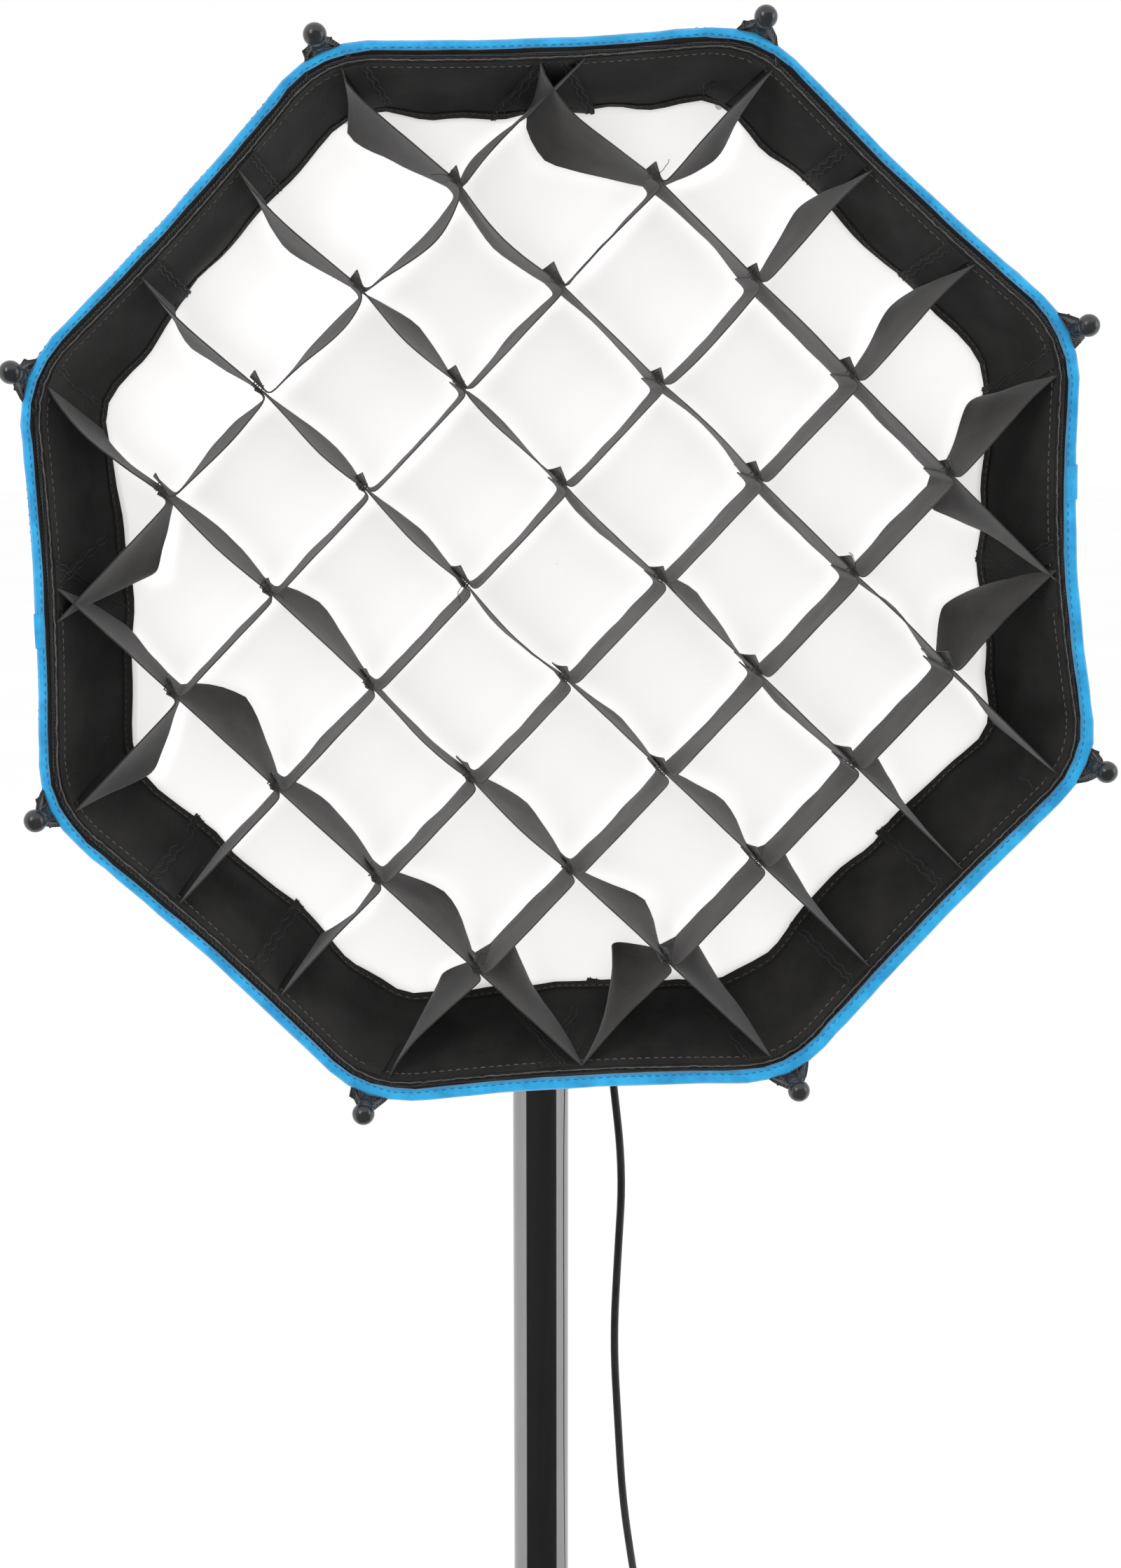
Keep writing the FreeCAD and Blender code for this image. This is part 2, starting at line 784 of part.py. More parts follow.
for number, (across, down) in enumerate(BUTTONS, 1):
    button = lathe(
        f"button_{number}",
        [(0, -8), (BUTTON_RADIUS, -8), (BUTTON_RADIUS, 2.4), (BUTTON_RADIUS - 0.8, 3.2), (0, 3.2)],
    )
    finish(button, f"button_{number}", LIGHT * place(across, down, panel_face))

# The rocker turns on its own middle, just behind the panel's face.
rocker = slab(
    "power_rocker",
    [(-9.4, -2.6), (9.4, -2.6), (9.4, 1.2), (0, -0.6), (-9.4, 3.2)],
    ROCKER_TALL - 1.2,
    "XZ_Plane",
    True,
)
finish(rocker, "power_rocker", LIGHT * place(ROCKER_ACROSS, ROCKER_DOWN, panel_face))

lamp_base = lathe("lamp_base", [(0, 296), (45.6, 296), (45.6, 301), (0, 301)])
finish(lamp_base, "lamp_base", LIGHT)

FLASH_RING = 32
FLASH_TUBE = 4
FLASH_DEPTH = 276
flash_ring = doc.addObject("Part::Torus", "flash_ring")
flash_ring.Radius1 = FLASH_RING
flash_ring.Radius2 = FLASH_TUBE
flash_ring.Placement = place(0, 0, FLASH_DEPTH)
flash_legs = [
    cylinder(f"flash_leg_{number}", FLASH_TUBE - 0.5, 20, place(FLASH_RING, across, FLASH_DEPTH))
    for number, across in enumerate((-7, 7), 1)
]
finish(join("flash_tube", [flash_ring] + flash_legs), "flash_tube", LIGHT)

lamp = lathe(
    "modelling_lamp",
    [(0, 240), (6, 242), (10, 248), (11, 256), (9, 266), (7, 274), (7, 296), (0, 296)],
)
finish(lamp, "modelling_lamp", LIGHT)

dome = lathe(
    "glass_dome",
    [
        (0, 226),
        (16, 227.5),
        (30, 233),
        (39, 242),
        (44, 254),
        (44, 296),
        (41.8, 296),
        (41.8, 254.6),
        (37.2, 243.6),
        (28.8, 235),
        (15.6, 229.8),
        (0, 228.4),
    ],
)
finish(dome, "glass_dome", LIGHT)

HANDLE_FRONT = 425
HANDLE_BACK = 500
HANDLE_TOP = 112
HANDLE_RADIUS = 7
handle_points = [
    (0, -float(head_radius), HANDLE_FRONT),
    (0, -HANDLE_TOP, HANDLE_FRONT),
    (0, -HANDLE_TOP, HANDLE_BACK),
    (0, -float(head_radius), HANDLE_BACK),
]
handle = sweep("carry_handle", rounded_path(handle_points), HANDLE_RADIUS)
finish(handle, "carry_handle", LIGHT)

# ---------------------------------------------------------------- tilt bracket

pivot_height = size("pivot_height")
disc_radius = size("disc_radius")
disc_thick = size("disc_thick")
bolt_radius = size("bolt_radius")
TO_RIGHT = Rotation(Z_AXIS, X_AXIS)
pivot = Vector(0, float(stand_back), float(pivot_height))
LUG_RIGHT = -15.4

SADDLE_WIDE = 44
SADDLE_LONG = 76
SADDLE_FOOT = 1028
BOLT_PLAY = 0.4
lug_left = pivot + Vector(LUG_RIGHT - float(disc_thick), 0, 0)
lug_disc = cylinder("lug_disc", disc_radius, disc_thick, Placement(lug_left, TO_RIGHT))
web = block("lug_web", disc_thick, 44, 34, Placement(lug_left - Vector(0, 22, 0), Rotation()))
saddle_place = place(float(side) - SADDLE_WIDE / 2, float(stand_back) - SADDLE_LONG / 2, SADDLE_FOOT)
saddle = block("lug_saddle", SADDLE_WIDE, SADDLE_LONG, 14, saddle_place)
lug_whole = join("lug_whole", [lug_disc, web, saddle])
casing_space = cylinder("casing_space", head_radius, 300, LIGHT * place(0, 0, 250))
lug_bolt_place = Placement(pivot - Vector(40, 0, 0), TO_RIGHT)
lug_bolt_hole = cylinder("lug_bolt_hole", bolt_radius + BOLT_PLAY, 60, lug_bolt_place)
finish(cut("tilt_lug", lug_whole, join("lug_spaces", [casing_space, lug_bolt_hole])), "tilt_lug")

stud_radius = size("stud_radius")
SOCKET_FOOT = 884
SOCKET_TOP = 958
SOCKET_RADIUS = 17
CLAMP_HEIGHT = 915
socket_disc = cylinder("socket_disc", disc_radius, disc_thick, Placement(pivot + Vector(-15, 0, 0), TO_RIGHT))
barrel = cylinder("socket_barrel", SOCKET_RADIUS, SOCKET_TOP - SOCKET_FOOT, on_stand(SOCKET_FOOT))
neck = block("socket_neck", 20, 30, 34, Placement(pivot + Vector(-14, -15, -46), Rotation()))
socket_whole = join("socket_whole", [socket_disc, barrel, neck])
socket_bore = cylinder("socket_bore", stud_radius + size("stud_fit"), 66, on_stand(SOCKET_FOOT))
socket_bolt_place = Placement(pivot - Vector(30, 0, 0), TO_RIGHT)
socket_bolt_hole = cylinder("socket_bolt_hole", bolt_radius + BOLT_PLAY, 60, socket_bolt_place)
clamp_hole = cylinder("clamp_hole", 4.6, 40, place(0, float(stand_back), CLAMP_HEIGHT, X_AXIS * -1))
socket_spaces = join("socket_spaces", [socket_bore, socket_bolt_hole, clamp_hole])
finish(cut("stud_socket", socket_whole, socket_spaces), "stud_socket")

# The lever is on the bolt's head, to the right of both discs, and points back and down.
LEVER_LEAN = 25
lever_shaft = lathe(
    "lever_shaft",
    [(0, 0), (bolt_radius, 0), (bolt_radius, 35), (12, 35), (12, 51), (0, 51)],
)
lever_arm = block("lever_arm", 12, 64, 10, place(-6, 4, 40))
lever = join("tilt_lever", [lever_shaft, lever_arm])
finish(lever, "tilt_lever", Placement(pivot - Vector(29, 0, 0), Rotation(X_AXIS, -LEVER_LEAN) * TO_RIGHT))


def lobed_knob(name, reach, stem):
    """A clamp knob with four lobes: a stem along its own Z from the tip, and the head beyond reach."""
    core = lathe(
        f"{name}_core",
        [(0, 0), (stem, 0), (stem, reach), (11, reach), (12, reach + 2), (11, reach + 15), (0, reach + 17)],
    )
    lobes = [
        cylinder(f"{name}_lobe_{number}", 5, 13, place(across, up, reach + 1))
        for number, (across, up) in enumerate(((11, 0), (0, 11), (-11, 0), (0, -11)), 1)
    ]
    return join(name, [core] + lobes)


KNOB_STEM = 4.2
socket_knob = lobed_knob("socket_knob", 24, KNOB_STEM)
finish(socket_knob, "socket_knob", place(-8.4, float(stand_back), CLAMP_HEIGHT, X_AXIS * -1))

# ---------------------------------------------------------------- stand

column_radius = size("column_radius")
column_top = size("column_top")
riser_radius = size("riser_radius")
riser_bore = size("riser_bore")
riser_foot = size("riser_foot")
riser_top = size("riser_top")

column = tube("column", size("column_bore"), column_radius, size("column_foot"), column_top)
finish(column, "column", on_stand(0))

COLLAR_FOOT = 730
COLLAR_TOP = 796
KNOB_HEIGHT = 778
RISER_PLAY = 0.4
collar_body = lathe(
    "collar_body",
    [
        (column_radius, COLLAR_FOOT),
        (column_radius + 5, COLLAR_FOOT),
        (column_radius + 8, column_top - 6),
        (column_radius + 8, COLLAR_TOP - 3),
        (column_radius + 5, COLLAR_TOP),
        (riser_radius + RISER_PLAY, COLLAR_TOP),
        (riser_radius + RISER_PLAY, column_top),
        (column_radius, column_top),
    ],
)
boss = cylinder("collar_boss", 10, 20, place(0, 22, KNOB_HEIGHT, Y_AXIS))
boss_hole = cylinder("boss_hole", KNOB_STEM + 0.4, 60, place(0, 0, KNOB_HEIGHT, Y_AXIS))
riser_space = cylinder("collar_riser_space", riser_radius + RISER_PLAY, 60, place(0, 0, 750))
collar_whole = join("collar_whole", [collar_body, boss])
collar_spaces = join("collar_spaces", [boss_hole, riser_space])
finish(cut("column_collar", collar_whole, collar_spaces), "column_collar", on_stand(0))

knob_core = lathe("knob_core", [(0, 0), (KNOB_STEM, 0), (KNOB_STEM, 36), (9, 36), (9, 50), (0, 50)])
knob_bar = cylinder("knob_bar", 5, 58, place(-29, 0, 43, X_AXIS))
knob_place = place(0, float(stand_back) + 18.4, KNOB_HEIGHT, Y_AXIS)
finish(join("column_knob", [knob_core, knob_bar]), "column_knob", knob_place)

finish(tube("riser", riser_bore, riser_radius, riser_foot, riser_top), "riser", on_stand(0))
bush = tube("riser_bush", riser_radius, size("column_bore") - 0.4, riser_foot, riser_foot + 30)
finish(bush, "riser_bush", on_stand(0))

stud = lathe(
    "stand_stud",
    [
        (0, riser_top - 28),
        (riser_bore, riser_top - 28),
        (riser_bore, riser_top),
        (riser_radius, riser_top),
        (riser_radius, riser_top + 8),
        (stud_radius + 3, riser_top + 15),
        (stud_radius, riser_top + 15),
        (stud_radius, CLAMP_HEIGHT - 8),
        (stud_radius - 1, CLAMP_HEIGHT - 7),
        (stud_radius - 1, CLAMP_HEIGHT + 7),
        (stud_radius, CLAMP_HEIGHT + 8),
        (stud_radius, 946),
        (stud_radius - 1, 947),
        (0, 947),
    ],
)
finish(stud, "stand_stud", on_stand(0))

leg_reach = size("leg_reach")
leg_radius = size("leg_radius")
hub_radius = size("hub_radius")
hub_height = size("hub_height")
foot_height = size("foot_height")
LEG_TURNS = (-90, 30, 150)
HUB_FOOT = 45
HUB_PLAY = 0.06
HUB_GAP = 0.4


def make_leg(number, turn):
    """A hub ring round the column, a bent tube out to the foot, and the rubber foot."""
    low = size("hub_step") * (number - 1) + HUB_FOOT
    middle = float(low + hub_height / 2)
    fit = 0 if number == 1 else HUB_PLAY
    name = f"leg_{number}"
    hub = tube(f"{name}_hub", column_radius + fit, hub_radius, low, low + hub_height - HUB_GAP)
    reach = float(leg_reach)
    points = [
        (28, 0, middle),
        (120, 0, middle),
        (reach - 42, 0, 50),
        (reach, 0, 46),
        (reach, 0, float(foot_height)),
    ]
    path = rounded_path(points, 0.42)
    outside = sweep(f"{name}_outside", path, leg_radius)
    inside = sweep(f"{name}_inside", path, leg_radius - size("leg_wall"))
    column_space = cylinder(f"{name}_column_space", column_radius + fit, 200)
    hollow = cut(f"{name}_tube", outside, join(f"{name}_spaces", [inside, column_space]))
    finish(join(name, [hub, hollow]), name, on_stand(0, turn))
    foot_radius = size("foot_radius")
    foot = lathe(
        f"foot_{number}",
        [
            (0, 0),
            (foot_radius - 3, 0),
            (foot_radius, 3),
            (foot_radius, foot_height - 4),
            (foot_radius - 2, foot_height),
            (0, foot_height),
        ],
    )
    finish(foot, f"foot_{number}", on_stand(0, turn) * place(reach, 0, 0))


for number, turn in enumerate(LEG_TURNS, 1):
    make_leg(number, turn)

clamp_foot = size("hub_step") * 3 + HUB_FOOT
base_clamp = lathe(
    "base_clamp",
    [
        (column_radius, clamp_foot),
        (column_radius + 10, clamp_foot),
        (column_radius + 10, clamp_foot + 12),
        (column_radius + 7, clamp_foot + 16),
        (column_radius, clamp_foot + 16),
    ],
)
finish(base_clamp, "base_clamp", on_stand(0))

# ---------------------------------------------------------------- mains cord

cord_radius = size("cord_radius")
GLAND_SIDE = 3
GLAND_BACK = 172
GLAND_LONG = 30
gland_top = float(rim_height) - math.sqrt(float(head_radius) ** 2 - (GLAND_SIDE - float(side)) ** 2)
gland_foot = gland_top - GLAND_LONG
gland_cone = lathe(
    "gland_cone",
    [
        (cord_radius, 0),
        (4.4, 0),
        (5.4, GLAND_LONG * 0.6),
        (7.5, GLAND_LONG * 0.75),
        (7.5, GLAND_LONG + 6),
        (cord_radius, GLAND_LONG + 6),
    ],
)
gland_cone.Placement = place(GLAND_SIDE, GLAND_BACK, gland_foot)
gland_space = cylinder("gland_space", head_radius, 300, LIGHT * place(0, 0, 250))
finish(cut("cord_gland", gland_cone, gland_space), "cord_gland")

# Down from the head beside the column, then back over the floor to the coil behind the stand.
CORD_ROUTE = [
    (3, 172, gland_foot),
    (4, 173, 966),
    (10, 170, 920),
    (22, 160, 868),
    (37, 147, 812),
    (49, 135, 752),
    (55, 126, 692),
    (63, 120, 616),
    (59, 119, 548),
    (56, 120, 480),
    (60, 121, 412),
    (64, 124, 350),
    (73, 132, 290),
    (83, 150, 236),
    (88, 178, 184),
    (90, 212, 134),
    (92, 252, 90),
    (96, 296, 52),
    (98, 342, 22),
    (94, 380, 6),
    (86, 408, 3.3),
]
radii = []
cord_path = rounded_path(CORD_ROUTE, report=radii)
cord = sweep("mains_cord", cord_path, cord_radius)
finish(cord, "mains_cord")

coil_radius = size("coil_radius")
coil_width = size("coil_width")
COIL_MIDDLE = Vector(41, 434, 0.2)
coil_inside = coil_radius - coil_width / 2
coil_outside = coil_radius + coil_width / 2
coil = tube("cord_coil", coil_inside, coil_outside, 0, size("coil_height"))
finish(coil, "cord_coil", Placement(COIL_MIDDLE, Rotation()))

# The plug lies on the floor beside the coil, its pins level and pointing away to the left.
PLUG_PLACE = Vector(-32, 476, 19)
PIN_RADIUS = 2.4
PIN_LONG = 19
PIN_SPACING = 19
plug_body = lathe(
    "plug_body",
    [(0, -36), (4.4, -36), (5.4, -16), (13, -10), (18.5, 0), (18.5, 22), (17.5, 23), (0, 23)],
)
plug_pins = [
    cylinder(f"plug_pin_{number}", PIN_RADIUS, PIN_LONG, place(0, across, 23))
    for number, across in enumerate((-PIN_SPACING / 2, PIN_SPACING / 2), 1)
]
plug = join("mains_plug", [plug_body] + plug_pins)
finish(plug, "mains_plug", Placement(PLUG_PLACE, Rotation(Z_AXIS, X_AXIS * -1)))

# ---------------------------------------------------------------- check and write

doc.recompute()
print("bend radii of the cord:", " ".join(f"{radius:.0f}" for radius in radii))
cord_volume = cord_path.Length * math.pi * float(cord_radius) ** 2
print(f"cord tube: {cord_path.Length:.0f} long, {cord.Shape.Volume:.0f} against {cord_volume:.0f}")

for thing in doc.Objects:
    if "Invalid" in thing.State or "Error" in thing.State:
        raise RuntimeError(f"{thing.Label} has failed: {thing.State}")
for thing in finished:
    if thing.Shape.isNull() or not thing.Shape.isValid() or not thing.Shape.Solids:
        raise RuntimeError(f"{thing.Label} has no valid solid")

os.makedirs("parts", exist_ok=True)
for thing in finished:
    thing.Shape.exportStep(os.path.join("parts", f"{thing.Label}.step"))
print(f"{len(finished)} sub-parts written")
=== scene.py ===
import math
import random

import bpy
from mathutils import Matrix, Vector, noise


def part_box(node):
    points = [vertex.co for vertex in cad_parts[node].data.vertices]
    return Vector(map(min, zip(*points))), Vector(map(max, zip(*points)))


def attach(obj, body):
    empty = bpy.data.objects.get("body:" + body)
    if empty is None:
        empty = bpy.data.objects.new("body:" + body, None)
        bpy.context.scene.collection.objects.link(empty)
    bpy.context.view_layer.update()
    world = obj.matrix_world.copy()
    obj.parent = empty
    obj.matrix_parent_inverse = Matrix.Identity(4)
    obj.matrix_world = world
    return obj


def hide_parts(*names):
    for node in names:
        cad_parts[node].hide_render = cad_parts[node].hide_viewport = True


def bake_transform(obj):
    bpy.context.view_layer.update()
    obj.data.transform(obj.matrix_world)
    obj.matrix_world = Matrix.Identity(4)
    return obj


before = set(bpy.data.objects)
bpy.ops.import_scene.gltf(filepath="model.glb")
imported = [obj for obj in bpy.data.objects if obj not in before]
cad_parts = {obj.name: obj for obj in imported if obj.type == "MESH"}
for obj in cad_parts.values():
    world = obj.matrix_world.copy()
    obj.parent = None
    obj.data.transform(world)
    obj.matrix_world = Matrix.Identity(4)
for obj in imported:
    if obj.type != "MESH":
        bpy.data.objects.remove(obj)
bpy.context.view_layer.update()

random.seed(11)

MM = 0.001

# ---------------------------------------------------------------- the light's own frame

rim_low, rim_high = (Vector(corner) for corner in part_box("lip_panels"))
grid_low, grid_high = (Vector(corner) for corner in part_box("grid_border"))
AXIS_X = (grid_low.x + grid_high.x) / 2
AXIS_Z = (grid_low.z + grid_high.z) / 2
RIM_Y = rim_low.y
SPIN = math.radians(2.2)
HALF_SECTOR = math.radians(22.5)
TO_CORNER = 1 / math.cos(HALF_SECTOR)

# The rim stands a little wider than its drawing and hangs low, and one rod reaches further out.
RIM_SPREAD = 4.5
RIM_SAG = 6.0
CORNER_SWING = 0.9
LONG_ROD = 7
LONG_ROD_EXTRA = 6.0
SIDE_BOW = 2.5
LONG_ROD_BOW = 3.5


def corner_shift(index):
    """How far a corner is out of a regular octagon: outwards in mm, and round in degrees."""
    height = math.sin(math.radians(22.5 + 45 * index))
    extra = LONG_ROD_EXTRA if index == LONG_ROD else 0.0
    return RIM_SPREAD - RIM_SAG * height + extra, CORNER_SWING * height


CORNER_SHIFTS = [corner_shift(index) for index in range(8)]
# How far each side is drawn in at its middle, in mm; a side runs from the corner of its own number.
SIDE_BOWS = [SIDE_BOW + (LONG_ROD_BOW if index == LONG_ROD else 0.0) for index in range(8)]


def plain(right, up, deep):
    """A point from its right, up and depth behind the rim in mm, without the softbox's own turn."""
    return Vector((AXIS_X + right * MM, RIM_Y + deep * MM, AXIS_Z + up * MM))


def at(right, up, deep):
    """The same, with the softbox's turn."""
    c, s = math.cos(SPIN), math.sin(SPIN)
    return plain(right * c - up * s, right * s + up * c, deep)


def polar(radius, angle, deep):
    return at(radius * math.cos(angle), radius * math.sin(angle), deep)


def row(x, y, z):
    """A point of the row frame, in mm."""
    return Vector((x, y, z)) * MM


def lerp(a, b, t):
    return a + (b - a) * t


def rough(point, scale, seed=0):
    """Smooth noise from -1 to 1 at a point, at a scale in mm."""
    return noise.noise(Vector(point) / (scale * MM) + Vector((seed * 17.3, seed * 5.1, seed * 9.7)))


# ---------------------------------------------------------------- meshes

class Shape:
    """Points and faces of one piece, built up from sheets, tubes and lathed forms."""

    def __init__(self):
        self.points = []
        self.faces = []

    def rows(self, rows, round_u=False, round_v=False, flip=False):
        """Quads over a net of points: round_u closes the list of rows, round_v closes each row."""
        first = len(self.points)
        count_u, count_v = len(rows), len(rows[0])
        for line in rows:
            self.points.extend(line)
        for u in range(count_u if round_u else count_u - 1):
            for v in range(count_v if round_v else count_v - 1):
                a = first + u * count_v + v
                b = first + u * count_v + (v + 1) % count_v
                c = first + (u + 1) % count_u * count_v + (v + 1) % count_v
                d = first + (u + 1) % count_u * count_v + v
                self.faces.append((a, d, c, b) if flip else (a, b, c, d))
        return first

    def sheet(self, rows, thickness, round_v=False):
        """A closed sheet of one thickness in mm, along a net of its middle points."""
        count_u, count_v = len(rows), len(rows[0])

        def step(u, v, du, dv):
            u1, u0 = min(u + du, count_u - 1), max(u - du, 0)
            if round_v:
                return rows[u1][(v + dv) % count_v] - rows[u0][(v - dv) % count_v]
            return rows[u1][min(v + dv, count_v - 1)] - rows[u0][max(v - dv, 0)]

        above, below = [], []
        for u in range(count_u):
            line_a, line_b = [], []
            for v in range(count_v):
                normal = step(u, v, 1, 0).cross(step(u, v, 0, 1))
                normal = normal.normalized() * (thickness * MM / 2)
                line_a.append(rows[u][v] + normal)
                line_b.append(rows[u][v] - normal)
            above.append(line_a)
            below.append(line_b)
        a = self.rows(above, round_v=round_v, flip=True)
        b = self.rows(below, round_v=round_v)
        last = (count_u - 1) * count_v
        for v in range(count_v if round_v else count_v - 1):
            w = (v + 1) % count_v
            self.faces.append((a + v, a + w, b + w, b + v))
            self.faces.append((a + last + w, a + last + v, b + last + v, b + last + w))
        if not round_v:
            for u in range(count_u - 1):
                near, far = u * count_v, (u + 1) * count_v
                self.faces.append((a + far, a + near, b + near, b + far))
                near, far = near + count_v - 1, far + count_v - 1
                self.faces.append((a + near, a + far, b + far, b + near))

    def tube(self, path, radius, sides=8, closed=False):
        """A round tube along a path; radius in mm is one number, or one for each point."""
        radii = radius if hasattr(radius, "__len__") else [radius] * len(path)
        count = len(path)
        side = None
        lines = []
        for step, point in enumerate(path):
            if closed:
                way = path[(step + 1) % count] - path[step - 1]
            else:
                way = path[min(step + 1, count - 1)] - path[max(step - 1, 0)]
            way.normalize()
            if side is None:
                side = way.orthogonal().normalized()
            side = (side - way * side.dot(way)).normalized()
            up = way.cross(side)
            line = []
            for number in range(sides):
                turn = math.tau * number / sides
                line.append(point + (side * math.cos(turn) + up * math.sin(turn)) * radii[step] * MM)
            lines.append(line)
        first = self.rows(lines, round_u=closed, round_v=True)
        if not closed:
            self.faces.append(tuple(range(first, first + sides)))
            last = first + (count - 1) * sides
            self.faces.append(tuple(reversed(range(last, last + sides))))

    def lathe(self, place, profile, sides=32):
        """A solid of revolution: (radius, height) points in mm about the Z axis of a matrix."""
        lines = []
        for radius, height in profile:
            line = []
            for number in range(sides):
                turn = math.tau * number / sides
                local = Vector((radius * math.cos(turn), radius * math.sin(turn), height)) * MM
                line.append(place @ local)
            lines.append(line)
        first = self.rows(lines, round_v=True)
        self.faces.append(tuple(reversed(range(first, first + sides))))
        last = first + (len(profile) - 1) * sides
        self.faces.append(tuple(range(last, last + sides)))

    def box(self, place, low, high, soft=0.0):
        """A block between two corners in mm in the frame of a matrix, its edges cut by soft."""
        hard = 1 - soft
        profile = [(0, soft), (soft, 0), (hard, 0), (1, soft), (1, hard), (hard, 1), (soft, 1), (0, hard)]
        if not soft:
            profile = [(0, 0), (1, 0), (1, 1), (0, 1)]
        size = [high[axis] - low[axis] for axis in range(3)]
        cut = soft * min(size)
        lines = []
        steps = [(0, cut), (cut, 0), (size[2] - cut, 0), (size[2], cut)] if soft else [(0, 0), (size[2], 0)]
        for height, inset in steps:
            line = []
            for across, up in profile:
                x = low[0] + inset + across * (size[0] - 2 * inset)
                y = low[1] + inset + up * (size[1] - 2 * inset)
                line.append(place @ (Vector((x, y, low[2] + height)) * MM))
            lines.append(line)
        count = len(profile)
        first = self.rows(lines, round_v=True)
        self.faces.append(tuple(reversed(range(first, first + count))))
        last = first + (len(lines) - 1) * count
        self.faces.append(tuple(range(last, last + count)))

    def piece(self, name, material, body, slot, replaces=(), smooth=True, crease=40):
        mesh = bpy.data.meshes.new(name)
        mesh.from_pydata(self.points, [], self.faces)
        mesh.validate()
        mesh.materials.append(material)
        thing = bpy.data.objects.new(name, mesh)
        bpy.context.collection.objects.link(thing)
        if smooth:
            mesh.shade_smooth()
            mesh.set_sharp_from_angle(angle=math.radians(crease))
        if body:
            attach(thing, body)
        if replaces:
            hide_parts(*replaces)
        return thing


def smoothed(points, rounds=2):
    """Corner cutting: a smooth open line near a line of points, with the same ends."""
    for _ in range(rounds):
        finer = [points[0]]
        for a, b in zip(points, points[1:]):
            finer.append(lerp(a, b, 0.25))
            finer.append(lerp(a, b, 0.75))
        finer.append(points[-1])
        points = finer
    return points


def axis_frame(place, way):
    """A matrix at a place whose Z axis points the way given."""
    matrix = Vector(way).normalized().to_track_quat("Z", "Y").to_matrix().to_4x4()
    matrix.translation = place
    return matrix


# ---------------------------------------------------------------- materials

def new_material(name, color, rough_value, metallic=0.0, **sockets):
    material = bpy.data.materials.new(name)
    material.use_nodes = True
    nodes = material.node_tree.nodes
    shader = nodes["Principled BSDF"]
    shader.inputs["Base Color"].default_value = (*color, 1)
    shader.inputs["Roughness"].default_value = rough_value
    shader.inputs["Metallic"].default_value = metallic
    for socket, value in sockets.items():
        shader.inputs[socket.replace("_", " ")].default_value = value
    return material, shader


def add_node(material, kind, **settings):
    node = material.node_tree.nodes.new(kind)
    for key, value in settings.items():
        if key in node.inputs:
            node.inputs[key].default_value = value
        else:
            setattr(node, key, value)
    return node


def place_of(material):
    return add_node(material, "ShaderNodeTexCoord").outputs["Object"]


def vary_color(material, shader, dark, light, scale, detail=4.0, low=0.35, high=0.65):
    """Colour that wanders between two shades over the surface, at a scale in mm."""
    links = material.node_tree.links
    cloud = add_node(material, "ShaderNodeTexNoise", Scale=1 / (scale * MM), Detail=detail, Roughness=0.6)
    links.new(place_of(material), cloud.inputs["Vector"])
    ramp = add_node(material, "ShaderNodeValToRGB")
    ramp.color_ramp.elements[0].position = low
    ramp.color_ramp.elements[1].position = high
    ramp.color_ramp.elements[0].color = (*dark, 1)
    ramp.color_ramp.elements[1].color = (*light, 1)
    links.new(cloud.outputs["Fac"], ramp.inputs["Fac"])
    links.new(ramp.outputs["Color"], shader.inputs["Base Color"])


def vary_rough(material, shader, low, high, scale):
    links = material.node_tree.links
    cloud = add_node(material, "ShaderNodeTexNoise", Scale=1 / (scale * MM), Detail=5.0)
    links.new(place_of(material), cloud.inputs["Vector"])
    span = add_node(material, "ShaderNodeMapRange")
    span.inputs["From Min"].default_value = 0.3
    span.inputs["From Max"].default_value = 0.7
    span.inputs["To Min"].default_value = low
    span.inputs["To Max"].default_value = high
    links.new(cloud.outputs["Fac"], span.inputs["Value"])
    links.new(span.outputs["Result"], shader.inputs["Roughness"])


def add_bump(material, shader, heights, strength, distance):
    """Join several height outputs into one bump."""
    links = material.node_tree.links
    total = heights[0]
    for height in heights[1:]:
        adding = add_node(material, "ShaderNodeMath", operation="ADD")
        links.new(total, adding.inputs[0])
        links.new(height, adding.inputs[1])
        total = adding.outputs[0]
    bump = add_node(material, "ShaderNodeBump", Strength=strength, Distance=distance * MM)
    links.new(total, bump.inputs["Height"])
    links.new(bump.outputs["Normal"], shader.inputs["Normal"])


def weave(material, pitch, turn=0.0):
    """Two crossed sets of threads, as heights."""
    links = material.node_tree.links
    outputs = []
    eighth = math.radians(45)
    for step, (x, y, z) in enumerate(((0, turn, eighth), (0, turn + 2 * eighth, eighth))):
        mapping = add_node(material, "ShaderNodeMapping")
        mapping.inputs["Rotation"].default_value = (x, y, z if step else 0)
        links.new(place_of(material), mapping.inputs["Vector"])
        wave = add_node(material, "ShaderNodeTexWave", Scale=1 / (pitch * MM) / math.tau, Distortion=0.6)
        wave.inputs["Detail"].default_value = 1.0
        links.new(mapping.outputs["Vector"], wave.inputs["Vector"])
        outputs.append(wave.outputs["Fac"])
    return outputs


def grain(material, scale, detail=6.0):
    cloud = add_node(material, "ShaderNodeTexNoise", Scale=1 / (scale * MM), Detail=detail)
    material.node_tree.links.new(place_of(material), cloud.inputs["Vector"])
    return cloud.outputs["Fac"]


def fabric(name, dark, light, patch=30, pitch=0.7, rough_value=0.85, sheen=0.25, bump=0.25, **sockets):
    material, shader = new_material(name, light, rough_value, **sockets)
    shader.inputs["Sheen Weight"].default_value = sheen
    shader.inputs["Sheen Roughness"].default_value = 0.5
    shader.inputs["Specular IOR Level"].default_value = 0.2
    vary_color(material, shader, dark, light, patch)
    add_bump(material, shader, weave(material, pitch) + [grain(material, 2.5)], bump, 0.25)
    return material


